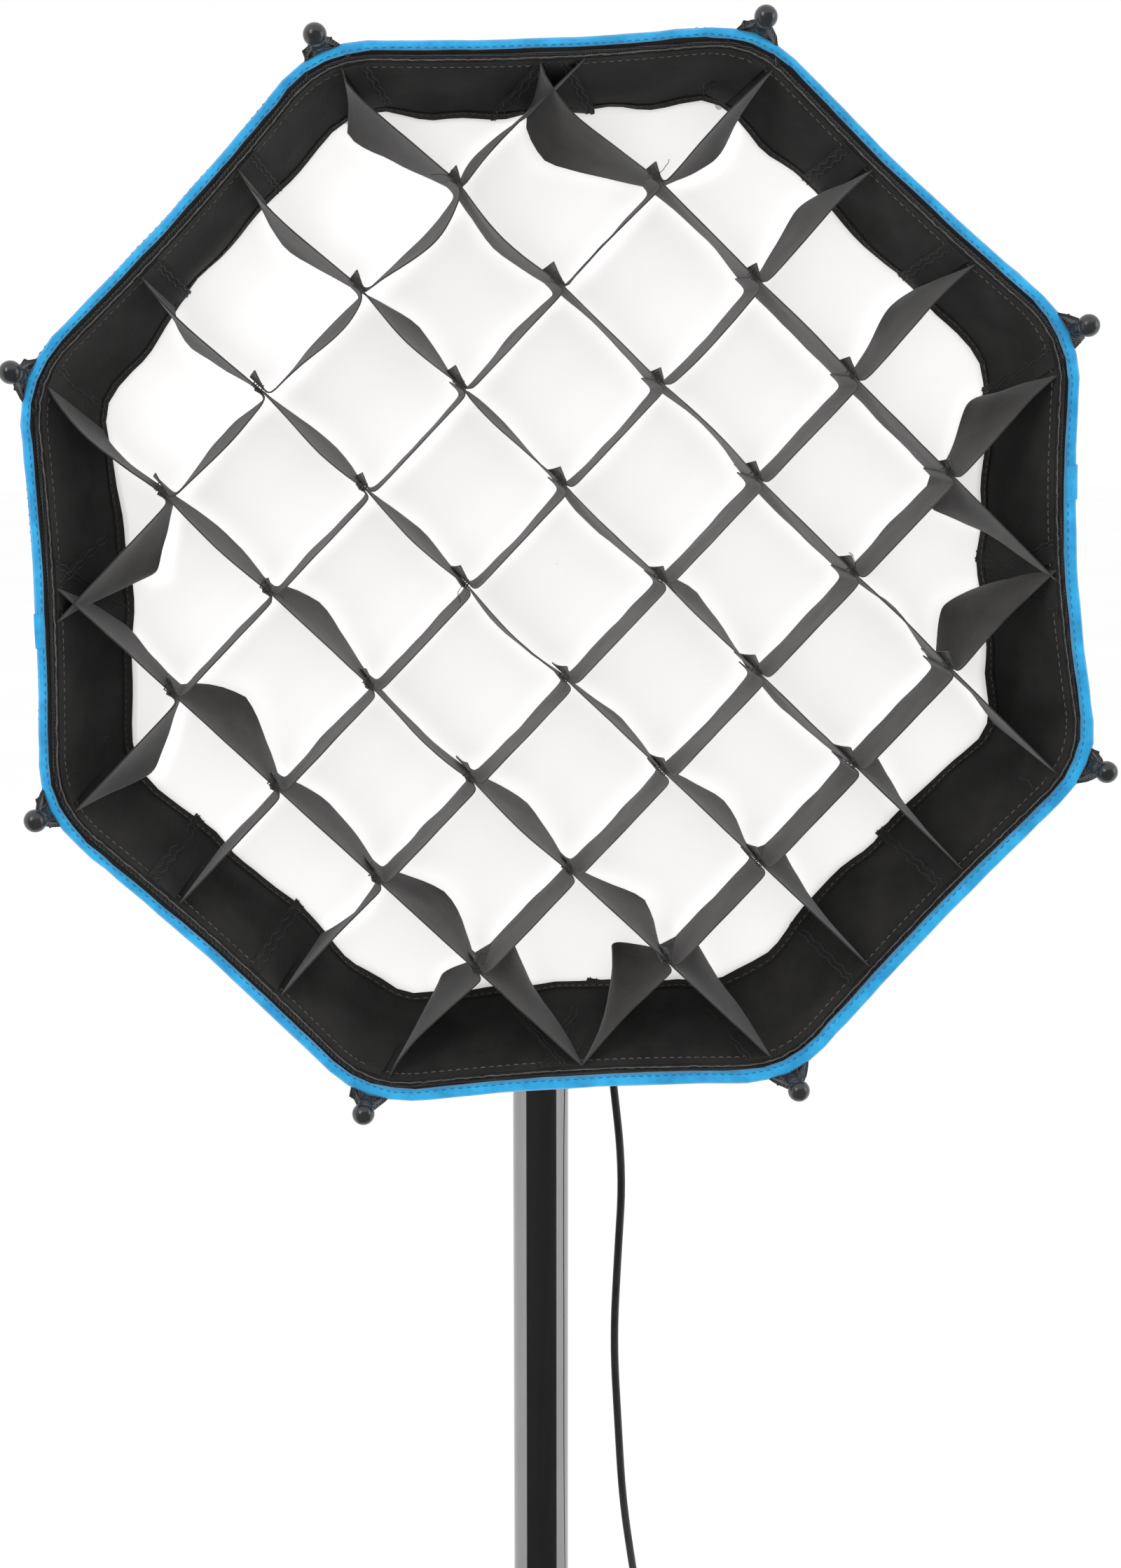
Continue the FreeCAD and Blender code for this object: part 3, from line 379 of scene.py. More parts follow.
def moulded(name, dark, light, rough_low, rough_high, texture=0.35, bump=0.12, **sockets):
    material, shader = new_material(name, light, rough_low, **sockets)
    vary_color(material, shader, dark, light, 18)
    vary_rough(material, shader, rough_low, rough_high, 9)
    add_bump(material, shader, [grain(material, texture)], bump, 0.1)
    return material


def metal(name, dark, light, rough_low, rough_high, bump=0.03, scale=6.0, **sockets):
    material, shader = new_material(name, light, rough_low, metallic=1.0, **sockets)
    vary_color(material, shader, dark, light, 40)
    vary_rough(material, shader, rough_low, rough_high, scale)
    add_bump(material, shader, [grain(material, 0.5)], bump, 0.05)
    return material


GRID_CLOTH = fabric(
    "grid_cloth", (0.050, 0.046, 0.043), (0.085, 0.079, 0.075),
    patch=22, pitch=0.5, sheen=0.25
)
BAND_CLOTH = fabric(
    "band_cloth", (0.010, 0.0095, 0.009), (0.020, 0.019, 0.018),
    patch=30, pitch=0.5, sheen=0.12
)
LIP_CLOTH = fabric("lip_cloth", (0.004, 0.004, 0.005), (0.009, 0.009, 0.010), patch=25, sheen=0.1)
SHELL_CLOTH = fabric(
    "shell_cloth", (0.010, 0.010, 0.011), (0.018, 0.018, 0.019),
    patch=60, pitch=0.9, rough_value=0.6
)
BLUE_TAPE = fabric(
    "blue_tape", (0.010, 0.250, 0.530), (0.024, 0.380, 0.720),
    patch=14, pitch=0.45, sheen=0.3, rough_value=0.55
)
HOOK_LOOP = fabric(
    "hook_and_loop", (0.008, 0.008, 0.008), (0.022, 0.021, 0.020),
    patch=3, pitch=0.8, sheen=0.5, bump=0.8
)
THREAD = fabric("thread", (0.010, 0.009, 0.009), (0.020, 0.018, 0.017), patch=2, pitch=0.3)
PALE_THREAD = fabric("edge_fuzz", (0.060, 0.052, 0.046), (0.110, 0.098, 0.088), patch=3, pitch=0.3, sheen=0.5)
BLUE_THREAD = fabric("blue_thread", (0.004, 0.090, 0.220), (0.010, 0.160, 0.340), patch=2, pitch=0.3)
ELASTIC = fabric("elastic", (0.015, 0.015, 0.015), (0.028, 0.028, 0.028), patch=6, pitch=1.0)
SILVER_CLOTH = metal("silver_lining", (0.55, 0.55, 0.56), (0.72, 0.72, 0.73), 0.32, 0.48, bump=0.5, scale=25)
# Painted glow: the emission stands in for lamp light shining through the front cloth and lifts its shaded
# parts to near white.
DIFFUSER_PAINTED_GLOW = fabric(
    "diffuser_cloth_painted_glow", (0.93, 0.92, 0.915), (0.965, 0.955, 0.95), patch=120, pitch=0.4, sheen=0.0, bump=0.06,
    Emission_Color=(1.0, 0.975, 0.965, 1), Emission_Strength=0.55,
)
BAFFLE = fabric("baffle_cloth", (0.86, 0.86, 0.85), (0.93, 0.93, 0.92), patch=60, sheen=0.0)
TIP_PLASTIC = moulded(
    "tip_plastic", (0.018, 0.019, 0.021), (0.030, 0.031, 0.034),
    0.24, 0.36, Coat_Weight=0.3
)
CASING = moulded(
    "casing_plastic", (0.022, 0.022, 0.024), (0.032, 0.032, 0.035),
    0.42, 0.56, texture=0.5, bump=0.35
)
CASING_DARK = moulded("panel_plastic", (0.010, 0.010, 0.011), (0.016, 0.016, 0.017), 0.38, 0.50)
CONTROL = moulded("control_plastic", (0.045, 0.046, 0.050), (0.070, 0.072, 0.078), 0.38, 0.50)
KNOB = moulded("knob_plastic", (0.014, 0.014, 0.014), (0.024, 0.024, 0.024), 0.36, 0.52, bump=0.25)
RUBBER = moulded("rubber", (0.016, 0.016, 0.016), (0.026, 0.026, 0.025), 0.60, 0.78, bump=0.3)
CORD_RUBBER = moulded(
    "cord_rubber", (0.010, 0.010, 0.010), (0.018, 0.018, 0.018),
    0.42, 0.55, texture=0.8, bump=0.15
)
MARKING = moulded("marking_white", (0.70, 0.70, 0.70), (0.82, 0.82, 0.82), 0.5, 0.6)
CERAMIC = moulded("ceramic", (0.74, 0.73, 0.70), (0.84, 0.83, 0.80), 0.22, 0.32, Coat_Weight=0.4)
NYLON = moulded("nylon", (0.70, 0.69, 0.65), (0.80, 0.79, 0.75), 0.42, 0.55)
PAINTED = moulded(
    "satin_black_paint", (0.012, 0.012, 0.013), (0.022, 0.022, 0.023),
    0.30, 0.44, texture=1.2, Coat_Weight=0.2
)
CHROME = metal("chrome", (0.275, 0.275, 0.28), (0.29, 0.29, 0.295), 0.06, 0.11, bump=0.01, scale=30)
STEEL = metal("brushed_steel", (0.42, 0.42, 0.43), (0.55, 0.55, 0.56), 0.24, 0.38, bump=0.08)
ALLOY = metal("black_alloy", (0.05, 0.05, 0.055), (0.09, 0.09, 0.095), 0.30, 0.42, bump=0.08)


def glass(name, color, rough_value, through):
    material, shader = new_material(name, color, rough_value, Transmission_Weight=through, IOR=1.47)
    vary_rough(material, shader, rough_value * 0.8, rough_value * 1.2, 12)
    return material


FROSTED = glass("frosted_glass", (0.96, 0.97, 0.98), 0.28, 0.9)
CLEAR = glass("clear_glass", (0.95, 0.97, 1.0), 0.05, 0.95)


def paint_light_and_shade_outwards(material, near, far, dimmest):
    """Painted light and shade: the cloth's colour is scaled down from the middle towards the rim, standing in
    for light shining through it from behind.
    """
    links = material.node_tree.links
    shader = material.node_tree.nodes["Principled BSDF"]
    old = shader.inputs["Base Color"].links[0].from_socket
    away = add_node(material, "ShaderNodeVectorMath", operation="DISTANCE")
    links.new(place_of(material), away.inputs[0])
    away.inputs[1].default_value = plain(0, 0, 30)
    span = add_node(material, "ShaderNodeMapRange")
    span.inputs["From Min"].default_value = near * MM
    span.inputs["From Max"].default_value = far * MM
    span.inputs["To Min"].default_value = 1.0
    span.inputs["To Max"].default_value = dimmest
    links.new(away.outputs["Value"], span.inputs["Value"])
    dim = add_node(material, "ShaderNodeVectorMath", operation="SCALE")
    links.new(old, dim.inputs[0])
    links.new(span.outputs["Result"], dim.inputs["Scale"])
    links.new(dim.outputs["Vector"], shader.inputs["Base Color"])


# Painted shade: the grid cloth's colour dims from full at 120 mm out to 42 percent at 270 mm from the middle.
paint_light_and_shade_outwards(GRID_CLOTH, 120, 270, 0.42)

NODE_LOOKS = {
    "speed_ring": ALLOY,
    "ring_insert": ALLOY,
    "bayonet_collar": ALLOY,
    "tilt_lug": PAINTED,
    "stud_socket": PAINTED,
    "column_collar": PAINTED,
    "base_clamp": PAINTED,
    "front_casing": CASING,
    "rear_casing": CASING,
    "rear_panel": CASING_DARK,
    "mode_dial": CONTROL,
    "button_1": CONTROL,
    "button_2": CONTROL,
    "power_rocker": KNOB,
    "bayonet_release": CONTROL,
    "ring_lock_screw": KNOB,
    "socket_knob": KNOB,
    "column_knob": KNOB,
    "tilt_lever": KNOB,
    "carry_handle": RUBBER,
    "cord_gland": RUBBER,
    "foot_1": RUBBER,
    "foot_2": RUBBER,
    "foot_3": RUBBER,
    "lamp_base": CERAMIC,
    "flash_tube": FROSTED,
    "modelling_lamp": FROSTED,
    "glass_dome": CLEAR,
    "column": CHROME,
    "riser": CHROME,
    "leg_1": CHROME,
    "leg_2": CHROME,
    "leg_3": CHROME,
    "riser_bush": NYLON,
    "stand_stud": STEEL,
    "mains_plug": CORD_RUBBER,
}
for node, look in NODE_LOOKS.items():
    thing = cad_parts[node]
    thing.data.materials.clear()
    thing.data.materials.append(look)


# ---------------------------------------------------------------- camera, floor and lights

def place_camera():
    data = bpy.data.cameras.new("camera")
    data.lens = 57.7
    data.sensor_width = 36
    data.clip_start = 0.05
    data.clip_end = 60
    camera = bpy.data.objects.new("camera", data)
    bpy.context.collection.objects.link(camera)
    camera.location = (AXIS_X - 157.4 * MM, RIM_Y - 1442.1 * MM, AXIS_Z + 102.4 * MM)
    camera.rotation_euler = (math.radians(90 - 8.88), 0, math.radians(-6.06))
    bpy.context.scene.camera = camera


def place_floor():
    shape = Shape()
    reach = 30
    shape.rows([[Vector((x, y, 0)) for x in (-reach, 0, reach)] for y in (reach, 0, -reach)])
    material, shader = new_material("floor", (0.99, 0.99, 0.99), 0.9)
    shader.inputs["Specular IOR Level"].default_value = 0.0
    vary_color(material, shader, (0.98, 0.98, 0.98), (0.995, 0.995, 0.995), 900)
    mesh = bpy.data.meshes.new("floor")
    mesh.from_pydata(shape.points, [], shape.faces)
    mesh.materials.append(material)
    floor = bpy.data.objects.new("floor", mesh)
    bpy.context.collection.objects.link(floor)


def area_light(name, place, target, width, power):
    data = bpy.data.lights.new(name, "AREA")
    data.shape = "RECTANGLE"
    data.size = width
    data.size_y = width * 1.3
    data.energy = power
    lamp = bpy.data.objects.new(name, data)
    bpy.context.collection.objects.link(lamp)
    lamp.location = place
    way = Vector(target) - Vector(place)
    lamp.rotation_euler = way.to_track_quat("-Z", "Y").to_euler()


def light_scene():
    world = bpy.data.worlds.new("studio")
    bpy.context.scene.world = world
    world.use_nodes = True
    back = world.node_tree.nodes["Background"]
    back.inputs["Color"].default_value = (1.0, 1.0, 1.0, 1)
    back.inputs["Strength"].default_value = 1.0
    area_light("key", (-2.2, -2.6, 2.6), (0, 0, 1.0), 1.2, 30)
    area_light("fill", (2.6, -1.2, 1.6), (0, 0, 1.0), 1.2, 12)
    bpy.context.scene.view_settings.view_transform = "Standard"


def place_dark_card():
    """A dark screen that only shiny surfaces see: the unlit side of the studio, behind the camera."""
    shape = Shape()
    middle = Vector((0, 0.12, 0.002))
    rows = []
    for reach, height in ((0.42, 0), (1.5, 0), (6.0, 0), (6.0, 4.5)):
        line = []
        for step in range(13):
            turn = math.radians(lerp(-68, 63, step / 12))
            line.append(middle + Vector((math.sin(turn) * reach, -math.cos(turn) * reach, height)))
        rows.append(line)
    shape.rows(rows)
    material, shader = new_material("dark_card", (0.03, 0.03, 0.03), 0.9)
    vary_color(material, shader, (0.025, 0.025, 0.025), (0.035, 0.035, 0.035), 400)
    mesh = bpy.data.meshes.new("dark_card")
    mesh.from_pydata(shape.points, [], shape.faces)
    mesh.materials.append(material)
    card = bpy.data.objects.new("dark_card", mesh)
    bpy.context.collection.objects.link(card)
    card.visible_camera = False
    card.visible_diffuse = False
    card.visible_shadow = False
    card.visible_transmission = False


place_camera()
place_floor()
light_scene()
place_dark_card()

# ---------------------------------------------------------------- the mains cord

CORD_EXIT = (3, 172, 1006.8)
CORD_ROUTE = (
    CORD_EXIT,
    (4, 173, 966),
    (10, 170, 920),
    (22, 160, 868),
    (37, 147, 812),
    (49, 135, 752),
    (55, 126, 692),
    (63, 120, 616),
    (59, 119, 548),
    (56, 120, 480),
    (60, 121, 412),
    (64, 124, 350),
    (73, 132, 290),
    (83, 150, 236),
    (88, 178, 184),
    (90, 212, 134),
    (92, 252, 90),
    (96, 296, 52),
    (98, 342, 22),
    (94, 380, 6),
    (86, 408, 3.3),
)
CORD_RADIUS = 3
COIL_X, COIL_Y = 41, 434
COIL_INNER, COIL_OUTER = 27, 45
COIL_LAYERS = 3
TURNS_PER_LAYER = 4
POINTS_PER_TURN = 12
COIL_START = math.radians(-18)
PLUG_TAIL = (4, 476, 19)


def coil_points():
    """The turns of the coil: in, out and in again, one layer on another, then over to the plug."""
    points = []
    per_layer = TURNS_PER_LAYER * POINTS_PER_TURN
    total = COIL_LAYERS * per_layer
    # a control point lies a little outside the line that it shapes
    spread = 1 / 0.966
    for step in range(total + 1):
        layer = min(step // per_layer, COIL_LAYERS - 1)
        share = (step - layer * per_layer) / per_layer
        inward = share if layer % 2 == 0 else 1 - share
        radius = COIL_OUTER + (COIL_INNER - COIL_OUTER) * inward
        radius += 0.5 * math.sin(step * 0.9)
        turn = COIL_START + math.tau * step / POINTS_PER_TURN
        rise = max(0.0, (share - 0.94) / 0.06) if layer < COIL_LAYERS - 1 else 0.0
        height = CORD_RADIUS + 0.3 + 2 * CORD_RADIUS * (layer + rise)
        wide = radius * spread
        points.append((COIL_X + wide * math.cos(turn), COIL_Y + wide * math.sin(turn), height))
    top = CORD_RADIUS + 2 * CORD_RADIUS * COIL_LAYERS + 0.8
    for share in (0.25, 0.5, 0.75, 1.0):
        turn = COIL_START + math.tau * (total / POINTS_PER_TURN + share * 0.2)
        radius = COIL_INNER + (COIL_OUTER - 5 - COIL_INNER) * share
        points.append((COIL_X + radius * math.cos(turn), COIL_Y + radius * math.sin(turn), top))
    points.append((32, 473, top))
    points.append((18, 476, 19.5))
    points.append(PLUG_TAIL)
    return points


def spline_line(name, points):
    """The points along a smooth NURBS line through a route given in mm."""
    curve = bpy.data.curves.new(name, "CURVE")
    curve.dimensions = "3D"
    spline = curve.splines.new("NURBS")
    spline.points.add(len(points) - 1)
    for place, point in zip(spline.points, points):
        place.co = (*(Vector(point) * MM), 1)
    spline.order_u = 3
    spline.use_endpoint_u = True
    spline.resolution_u = 6
    holder = bpy.data.objects.new(name, curve)
    mesh = bpy.data.meshes.new_from_object(holder)
    line = [vertex.co.copy() for vertex in mesh.vertices]
    bpy.data.objects.remove(holder)
    bpy.data.curves.remove(curve)
    bpy.data.meshes.remove(mesh)
    return line


def make_cord():
    line = spline_line("cord_line", list(CORD_ROUTE) + coil_points())
    shape = Shape()
    shape.tube(line, CORD_RADIUS, 12)
    cord = shape.piece("cord_run", CORD_RUBBER, None, "cord_rubber", ("mains_cord", "cord_coil"))
    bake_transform(cord)
    ties = Shape()
    for turn in (math.radians(60), math.radians(235)):
        loop = []
        for radius, height in (
            (COIL_INNER - 4.6, 2), (COIL_INNER - 4.8, 10), (COIL_INNER - 4.4, 18), (COIL_INNER - 1, 20.4),
            (36, 20.9), (COIL_OUTER + 1, 20.4), (COIL_OUTER + 4.4, 18),
            (COIL_OUTER + 4.8, 10), (COIL_OUTER + 4.6, 2),
            (COIL_OUTER + 1, 0.6), (36, 0.5), (COIL_INNER - 1, 0.6),
        ):
            loop.append((radius, height))
        rows = []
        for across in (-3.5, -1.2, 1.2, 3.5):
            line_points = []
            for radius, height in loop:
                x = COIL_X + radius * math.cos(turn) - across * math.sin(turn)
                y = COIL_Y + radius * math.sin(turn) + across * math.cos(turn)
                line_points.append(row(x, y, max(height, 0.5)))
            rows.append(line_points)
        ties.sheet(rows, 0.9, round_v=True)
    ties.piece("cord_ties", HOOK_LOOP, "base", "cord_rubber")


make_cord()

# ---------------------------------------------------------------- rings of the octagon

SIDE_POINTS = 20
CORNER_POINTS = 5


def ring(apothem, deep, rounding=26.0, slack=0.0, fade=1.0, ripple=0.0, ripple_scale=55.0, seed=0, lift=0.0):
    """A closed line round the box at one depth: corners rounded, sides drawn in, more with slack."""
    corners = []
    for index, (outward, around) in enumerate(CORNER_SHIFTS):
        angle = math.radians(22.5 + 45 * index + around * fade)
        radius = apothem * TO_CORNER + outward * fade
        corners.append(Vector((math.cos(angle), math.sin(angle))) * radius)
    flat = []
    for index, corner in enumerate(corners):
        before, after = corners[index - 1], corners[(index + 1) % 8]
        enter = corner + (before - corner).normalized() * rounding
        leave = corner + (after - corner).normalized() * rounding
        for step in range(CORNER_POINTS):
            t = step / (CORNER_POINTS - 1)
            flat.append(lerp(lerp(enter, corner, t), lerp(corner, leave, t), t))
        following = after + (corner - after).normalized() * rounding
        inward = -(corner + after).normalized()
        bow = SIDE_BOWS[index] * fade + slack
        for step in range(1, SIDE_POINTS):
            t = step / SIDE_POINTS
            flat.append(lerp(leave, following, t) + inward * bow * math.sin(math.pi * t))
    points = []
    for place in flat:
        point = at(place.x, place.y, deep)
        if ripple or lift:
            wander = rough(point, ripple_scale, seed)
            outward = (point - at(0, 0, deep)).normalized()
            point = point + outward * (ripple * wander) * MM
            point.y += lift * rough(point, ripple_scale * 0.7, seed + 3) * MM
        points.append(point)
    return points


# How far the back of the lip and the band is drawn in on each side, in mm; below 0 it is pushed out.
SIDE_DRAWS = (-4.0, -2.0, -4.0, 11.0, 10.0, 11.0, 9.0, 5.0)


def drawn_in(points, amount, outwards_only=False):
    """Move the points of a ring in or out, by the draw of the side that each one is on."""
    moved = []
    for point in points:
        angle = math.degrees(math.atan2(point.z - AXIS_Z, point.x - AXIS_X) - SPIN) / 45 - 1
        side = math.floor(angle)
        draw = lerp(SIDE_DRAWS[side % 8], SIDE_DRAWS[(side + 1) % 8], angle - side)
        if outwards_only:
            draw = min(draw, 0)
        inward = Vector((AXIS_X - point.x, 0, AXIS_Z - point.z)).normalized()
        moved.append(point + inward * (draw * amount * MM))
    return moved


RIM = 300.0
LIP_START = 297.5
LIP_SLOPE = 28 / 61
SHELL_END = 96.0
SHELL_DEPTH = 250.0
SHELL_BULGE = 26.0


def shell_apothem(deep):
    """The outside of the shell at a depth: an arc from the rim to the ring, near enough a parabola."""
    share = deep / SHELL_DEPTH
    return RIM + (SHELL_END - RIM) * share + 4 * SHELL_BULGE * 1.24 * share * (1 - share)


def make_shell():
    depths = (1, 4, 9, 16, 30, 50, 75, 100, 125, 150, 175, 200, 222, 238, 250)
    outside, lining = [], []
    for deep in depths:
        share = deep / SHELL_DEPTH
        slack = 7 * math.sin(math.pi * max(0.0, (share - 0.28) / 0.72))
        size = shell_apothem(deep)
        rounding = lerp(26.0, 9.0, share)
        outside.append(ring(size, deep, rounding, slack, 1 - share, 0.8, 70, 4))
        lining.append(ring(size - 2.2, deep, rounding, slack, 1 - share, 0.8, 70, 4))
    shape = Shape()
    shape.sheet(outside, 1.0, round_v=True)
    shell = shape.piece(
        "shell_gores", SHELL_CLOTH, "softbox", "shell_fabric", [f"gore_{number}" for number in range(1, 9)]
    )
    inner = Shape()
    inner.sheet(lining, 0.6, round_v=True)
    lining_piece = inner.piece("silver_lining", SILVER_CLOTH, "softbox", "shell_fabric")

    # sewn corner seams with their piping, and the rows of stitches beside them
    seams = Shape()
    stitches = Shape()
    for index in range(8):
        middle = index * (CORNER_POINTS + SIDE_POINTS - 1) + CORNER_POINTS // 2
        corner_line = [line[middle] for line in outside]
        seam = smoothed([point + (point - at(0, 0, 0)).normalized() * 0.6 * MM for point in corner_line], 1)
        seams.tube(seam, 1.1, 6)
        for offset in (-2, 2):
            path = [line[middle + offset] for line in outside[1:]]
            for a, b in zip(path, path[1:]):
                count = max(2, int((b - a).length / (7 * MM)))
                for step in range(count):
                    start = lerp(a, b, (step + 0.15) / count)
                    end = lerp(a, b, (step + 0.75) / count)
                    out = (start - at(0, 0, 120)).normalized() * 0.6 * MM
                    arch = lerp(start, end, 0.5) + out * 1.4
                    stitches.tube([start + out * 0.4, arch, end + out * 0.4], 0.35, 4)
    seams.piece("shell_seams", SHELL_CLOTH, "softbox", "shell_fabric")
    stitches.piece("shell_stitches", THREAD, "softbox", "shell_fabric")


def make_lip():
    """The black front lip, from the rim in to the diffuser, with the loop strip near its front."""
    rows = []
    for deep in (0, 3, 8, 15, 25, 36, 47, 55, 61):
        line = ring(LIP_START - 0.8 - LIP_SLOPE * deep, deep, 24, 0, 1 - deep / SHELL_DEPTH, 0.5, 45, 7)
        rows.append(drawn_in(line, deep / 61, outwards_only=True))
    shape = Shape()
    shape.sheet(rows, 1.1, round_v=True)
    lip = shape.piece("front_lip", LIP_CLOTH, "softbox", "shell_fabric", ("lip_panels",))
    loops = Shape()
    fuzz = []
    for deep, inset in ((4.0, 1.9), (9.0, 2.4), (14.0, 2.4)):
        size = LIP_START - inset - LIP_SLOPE * deep
        fuzz.append(ring(size, deep, 24, 0, 1 - deep / SHELL_DEPTH, 0.35, 4, 8))
    loops.sheet(fuzz, 0.5, round_v=True)
    loops.piece("loop_strip", HOOK_LOOP, "softbox", "hook_loop")


def make_binding():
    """The blue tape folded over the rim: a rounded channel, puckered at the corners, with its seam."""
    profile = (
        (0.2, 9.0), (0.5, 5.5), (0.5, 1.6), (0.2, -1.0), (-0.8, -2.4),
        (-2.2, -2.6), (-3.4, -1.8), (-3.9, 0.2), (-3.6, 3.4),
    )
    count = 8 * (CORNER_POINTS + SIDE_POINTS - 1)
    rows = []
    for step, (out, deep) in enumerate(profile):
        rows.append(ring(RIM + out, deep, 28))
    for line_number, line in enumerate(rows):
        for number, point in enumerate(line):
            near_corner = abs((number % (CORNER_POINTS + SIDE_POINTS - 1)) - CORNER_POINTS / 2)
            pucker = 1.0 if near_corner < 4 else 0.35
            outward = (point - at(0, 0, profile[line_number][1])).normalized()
            # the tape lies flatter, and so looks wider, round the lower right
            flatter = 0.0
            if profile[line_number][0] < -2:
                flatter = max(0.0, 0.6 * outward.x - 0.75 * outward.z + 0.1)
            wander = rough(point, 5, 2) * 0.9 * pucker + rough(point, 28, 3) * 0.6 - 2.2 * flatter
            lift = rough(point, 9, 5) * 0.5 * pucker * MM
            line[number] = point + outward * wander * MM + Vector((0, lift, 0))
    shape = Shape()
    shape.sheet(rows, 0.9, round_v=True)
    shape.piece("edge_tape", BLUE_TAPE, "softbox", "binding_blue", ("edge_binding",))

    # the row of stitches near the tape's inner edge, and the two places where its ends overlap
    stitches = Shape()
    for line, push in ((rows[6], (0, -0.55)), (rows[1], (0.55, 0))):
        for number in range(count):
            a, b = line[number], line[(number + 1) % count]
            pieces = max(1, round((b - a).length / (5.0 * MM)))
            for step in range(pieces):
                start = lerp(a, b, (step + 0.2) / pieces)
                end = lerp(a, b, (step + 0.75) / pieces)
                out = (start - at(0, 0, 0)).normalized() * push[0] * MM + Vector((0, push[1] * MM, 0))
                stitches.tube([start + out * 0.6, lerp(start, end, 0.5) + out * 1.3, end + out * 0.6], 0.3, 4)
    stitches.piece("tape_stitches", BLUE_THREAD, "softbox", "binding_blue")
    overlaps = Shape()
    per_side = CORNER_POINTS + SIDE_POINTS - 1
    for index in (3 * per_side + 15, 7 * per_side + 17):
        net = []
        for number in range(index, index + 3):
            line = []
            for step, (out, deep) in enumerate(profile[1:8]):
                point = rows[step + 1][number % count]
                centre = at(0, 0, 2)
                away = Vector((point.x - centre.x, 0, point.z - centre.z)).normalized()
                push = away * 0.7 if out > 0 else Vector()
                line.append(point + (push + Vector((0, -0.8, 0))) * MM)
            net.append(line)
        overlaps.sheet(net, 0.8)
    overlaps.piece("tape_overlaps", BLUE_TAPE, "softbox", "binding_blue")


make_shell()
make_lip()
make_binding()

# ---------------------------------------------------------------- the grid's border band

GRID_FRONT, GRID_BACK = 4.0, 58.0
BAND_DEEP = GRID_BACK - GRID_FRONT
BAND_START = LIP_START - 1.5 - 0.6 - 2.6


def band_ring(share):
    """The band at a share of its depth: straight at the front, wavy at its back hem."""
    deep = lerp(GRID_FRONT, GRID_BACK, share)
    size = BAND_START - LIP_SLOPE * deep
    wave = 5.5 * share**1.4
    line = ring(size - 2.4 * share, deep, 24, 0.4, 1 - deep / SHELL_DEPTH, wave, 34, 12, lift=1.2 * share)
    return drawn_in(line, share**1.3)


def make_band():
    rows = [band_ring(step / 10) for step in range(11)]
    front = [point + Vector((0, -0.8, 0)) * MM for point in rows[0]]
    shape = Shape()
    shape.sheet([front] + rows, 1.2, round_v=True)
    band = shape.piece("border_band", BAND_CLOTH, "grid", "grid_fabric", ("grid_border",))

    # hems: a doubled edge at the front and at the back, with stitches along both
    hems = Shape()
    for low, high in ((0.0, 0.09), (0.91, 1.0)):
        lines = []
        for share in (low, (low + high) / 2, high):
            line = []
            for point in band_ring(share):
                inward = (at(0, 0, 30) - point)
                inward.y = 0
                line.append(point + inward.normalized() * 1.0 * MM)
            lines.append(line)
        hems.sheet(lines, 0.7, round_v=True)
    hems.piece("band_hems", BAND_CLOTH, "grid", "grid_fabric")
    stitches = Shape()
    for share in (0.075, 0.925):
        line = band_ring(share)
        count = len(line)
        for number in range(count):
            a, b = line[number], line[(number + 1) % count]
            inward = at(0, 0, 30) - a
            inward.y = 0
            push = inward.normalized() * MM
            pieces = max(1, round((b - a).length / (4.6 * MM)))
            for step in range(pieces):
                start = lerp(a, b, (step + 0.2) / pieces) + push * 1.35
                end = lerp(a, b, (step + 0.75) / pieces) + push * 1.35
                stitches.tube([start, lerp(start, end, 0.5) + push * 0.4, end], 0.3, 4)
    stitches.piece("band_stitches", PALE_THREAD, "grid", "grid_fabric")

    # the fuzzy edge of the hook strip that shows along the band's front
    fuzz = Shape()
    line = [point + Vector((0, -1.5, 0)) * MM for point in rows[0]]
    fine = []
    for number in range(len(line)):
        a, b = line[number], line[(number + 1) % len(line)]
        for step in range(4):
            point = lerp(a, b, step / 4)
            stray = Vector((rough(point, 2.2, 1), rough(point, 2.0, 2), rough(point, 2.1, 3)))
            fine.append(point + stray * 0.5 * MM)
    radii = [0.42 + 0.22 * rough(point, 1.6, 6) for point in fine]
    fuzz.tube(fine, radii, 5, closed=True)
    fuzz.piece("band_fuzz", PALE_THREAD, "grid", "grid_fabric")


make_band()

# ---------------------------------------------------------------- the grid's strips

GRID_PITCH = 80.5
GRID_TURN = math.radians(1.2)
GRID_DROP = 8.0
GRID_MIDDLE = Vector((0, -GRID_DROP))
WAY_A = Vector((math.cos(GRID_TURN - math.pi / 4), math.sin(GRID_TURN - math.pi / 4)))
WAY_B = Vector((-WAY_A.y, WAY_A.x))
STEP_A = WAY_A * GRID_PITCH
STEP_B = WAY_B * GRID_PITCH
# Far enough along a strip to be past the border.
BEYOND = 120.0
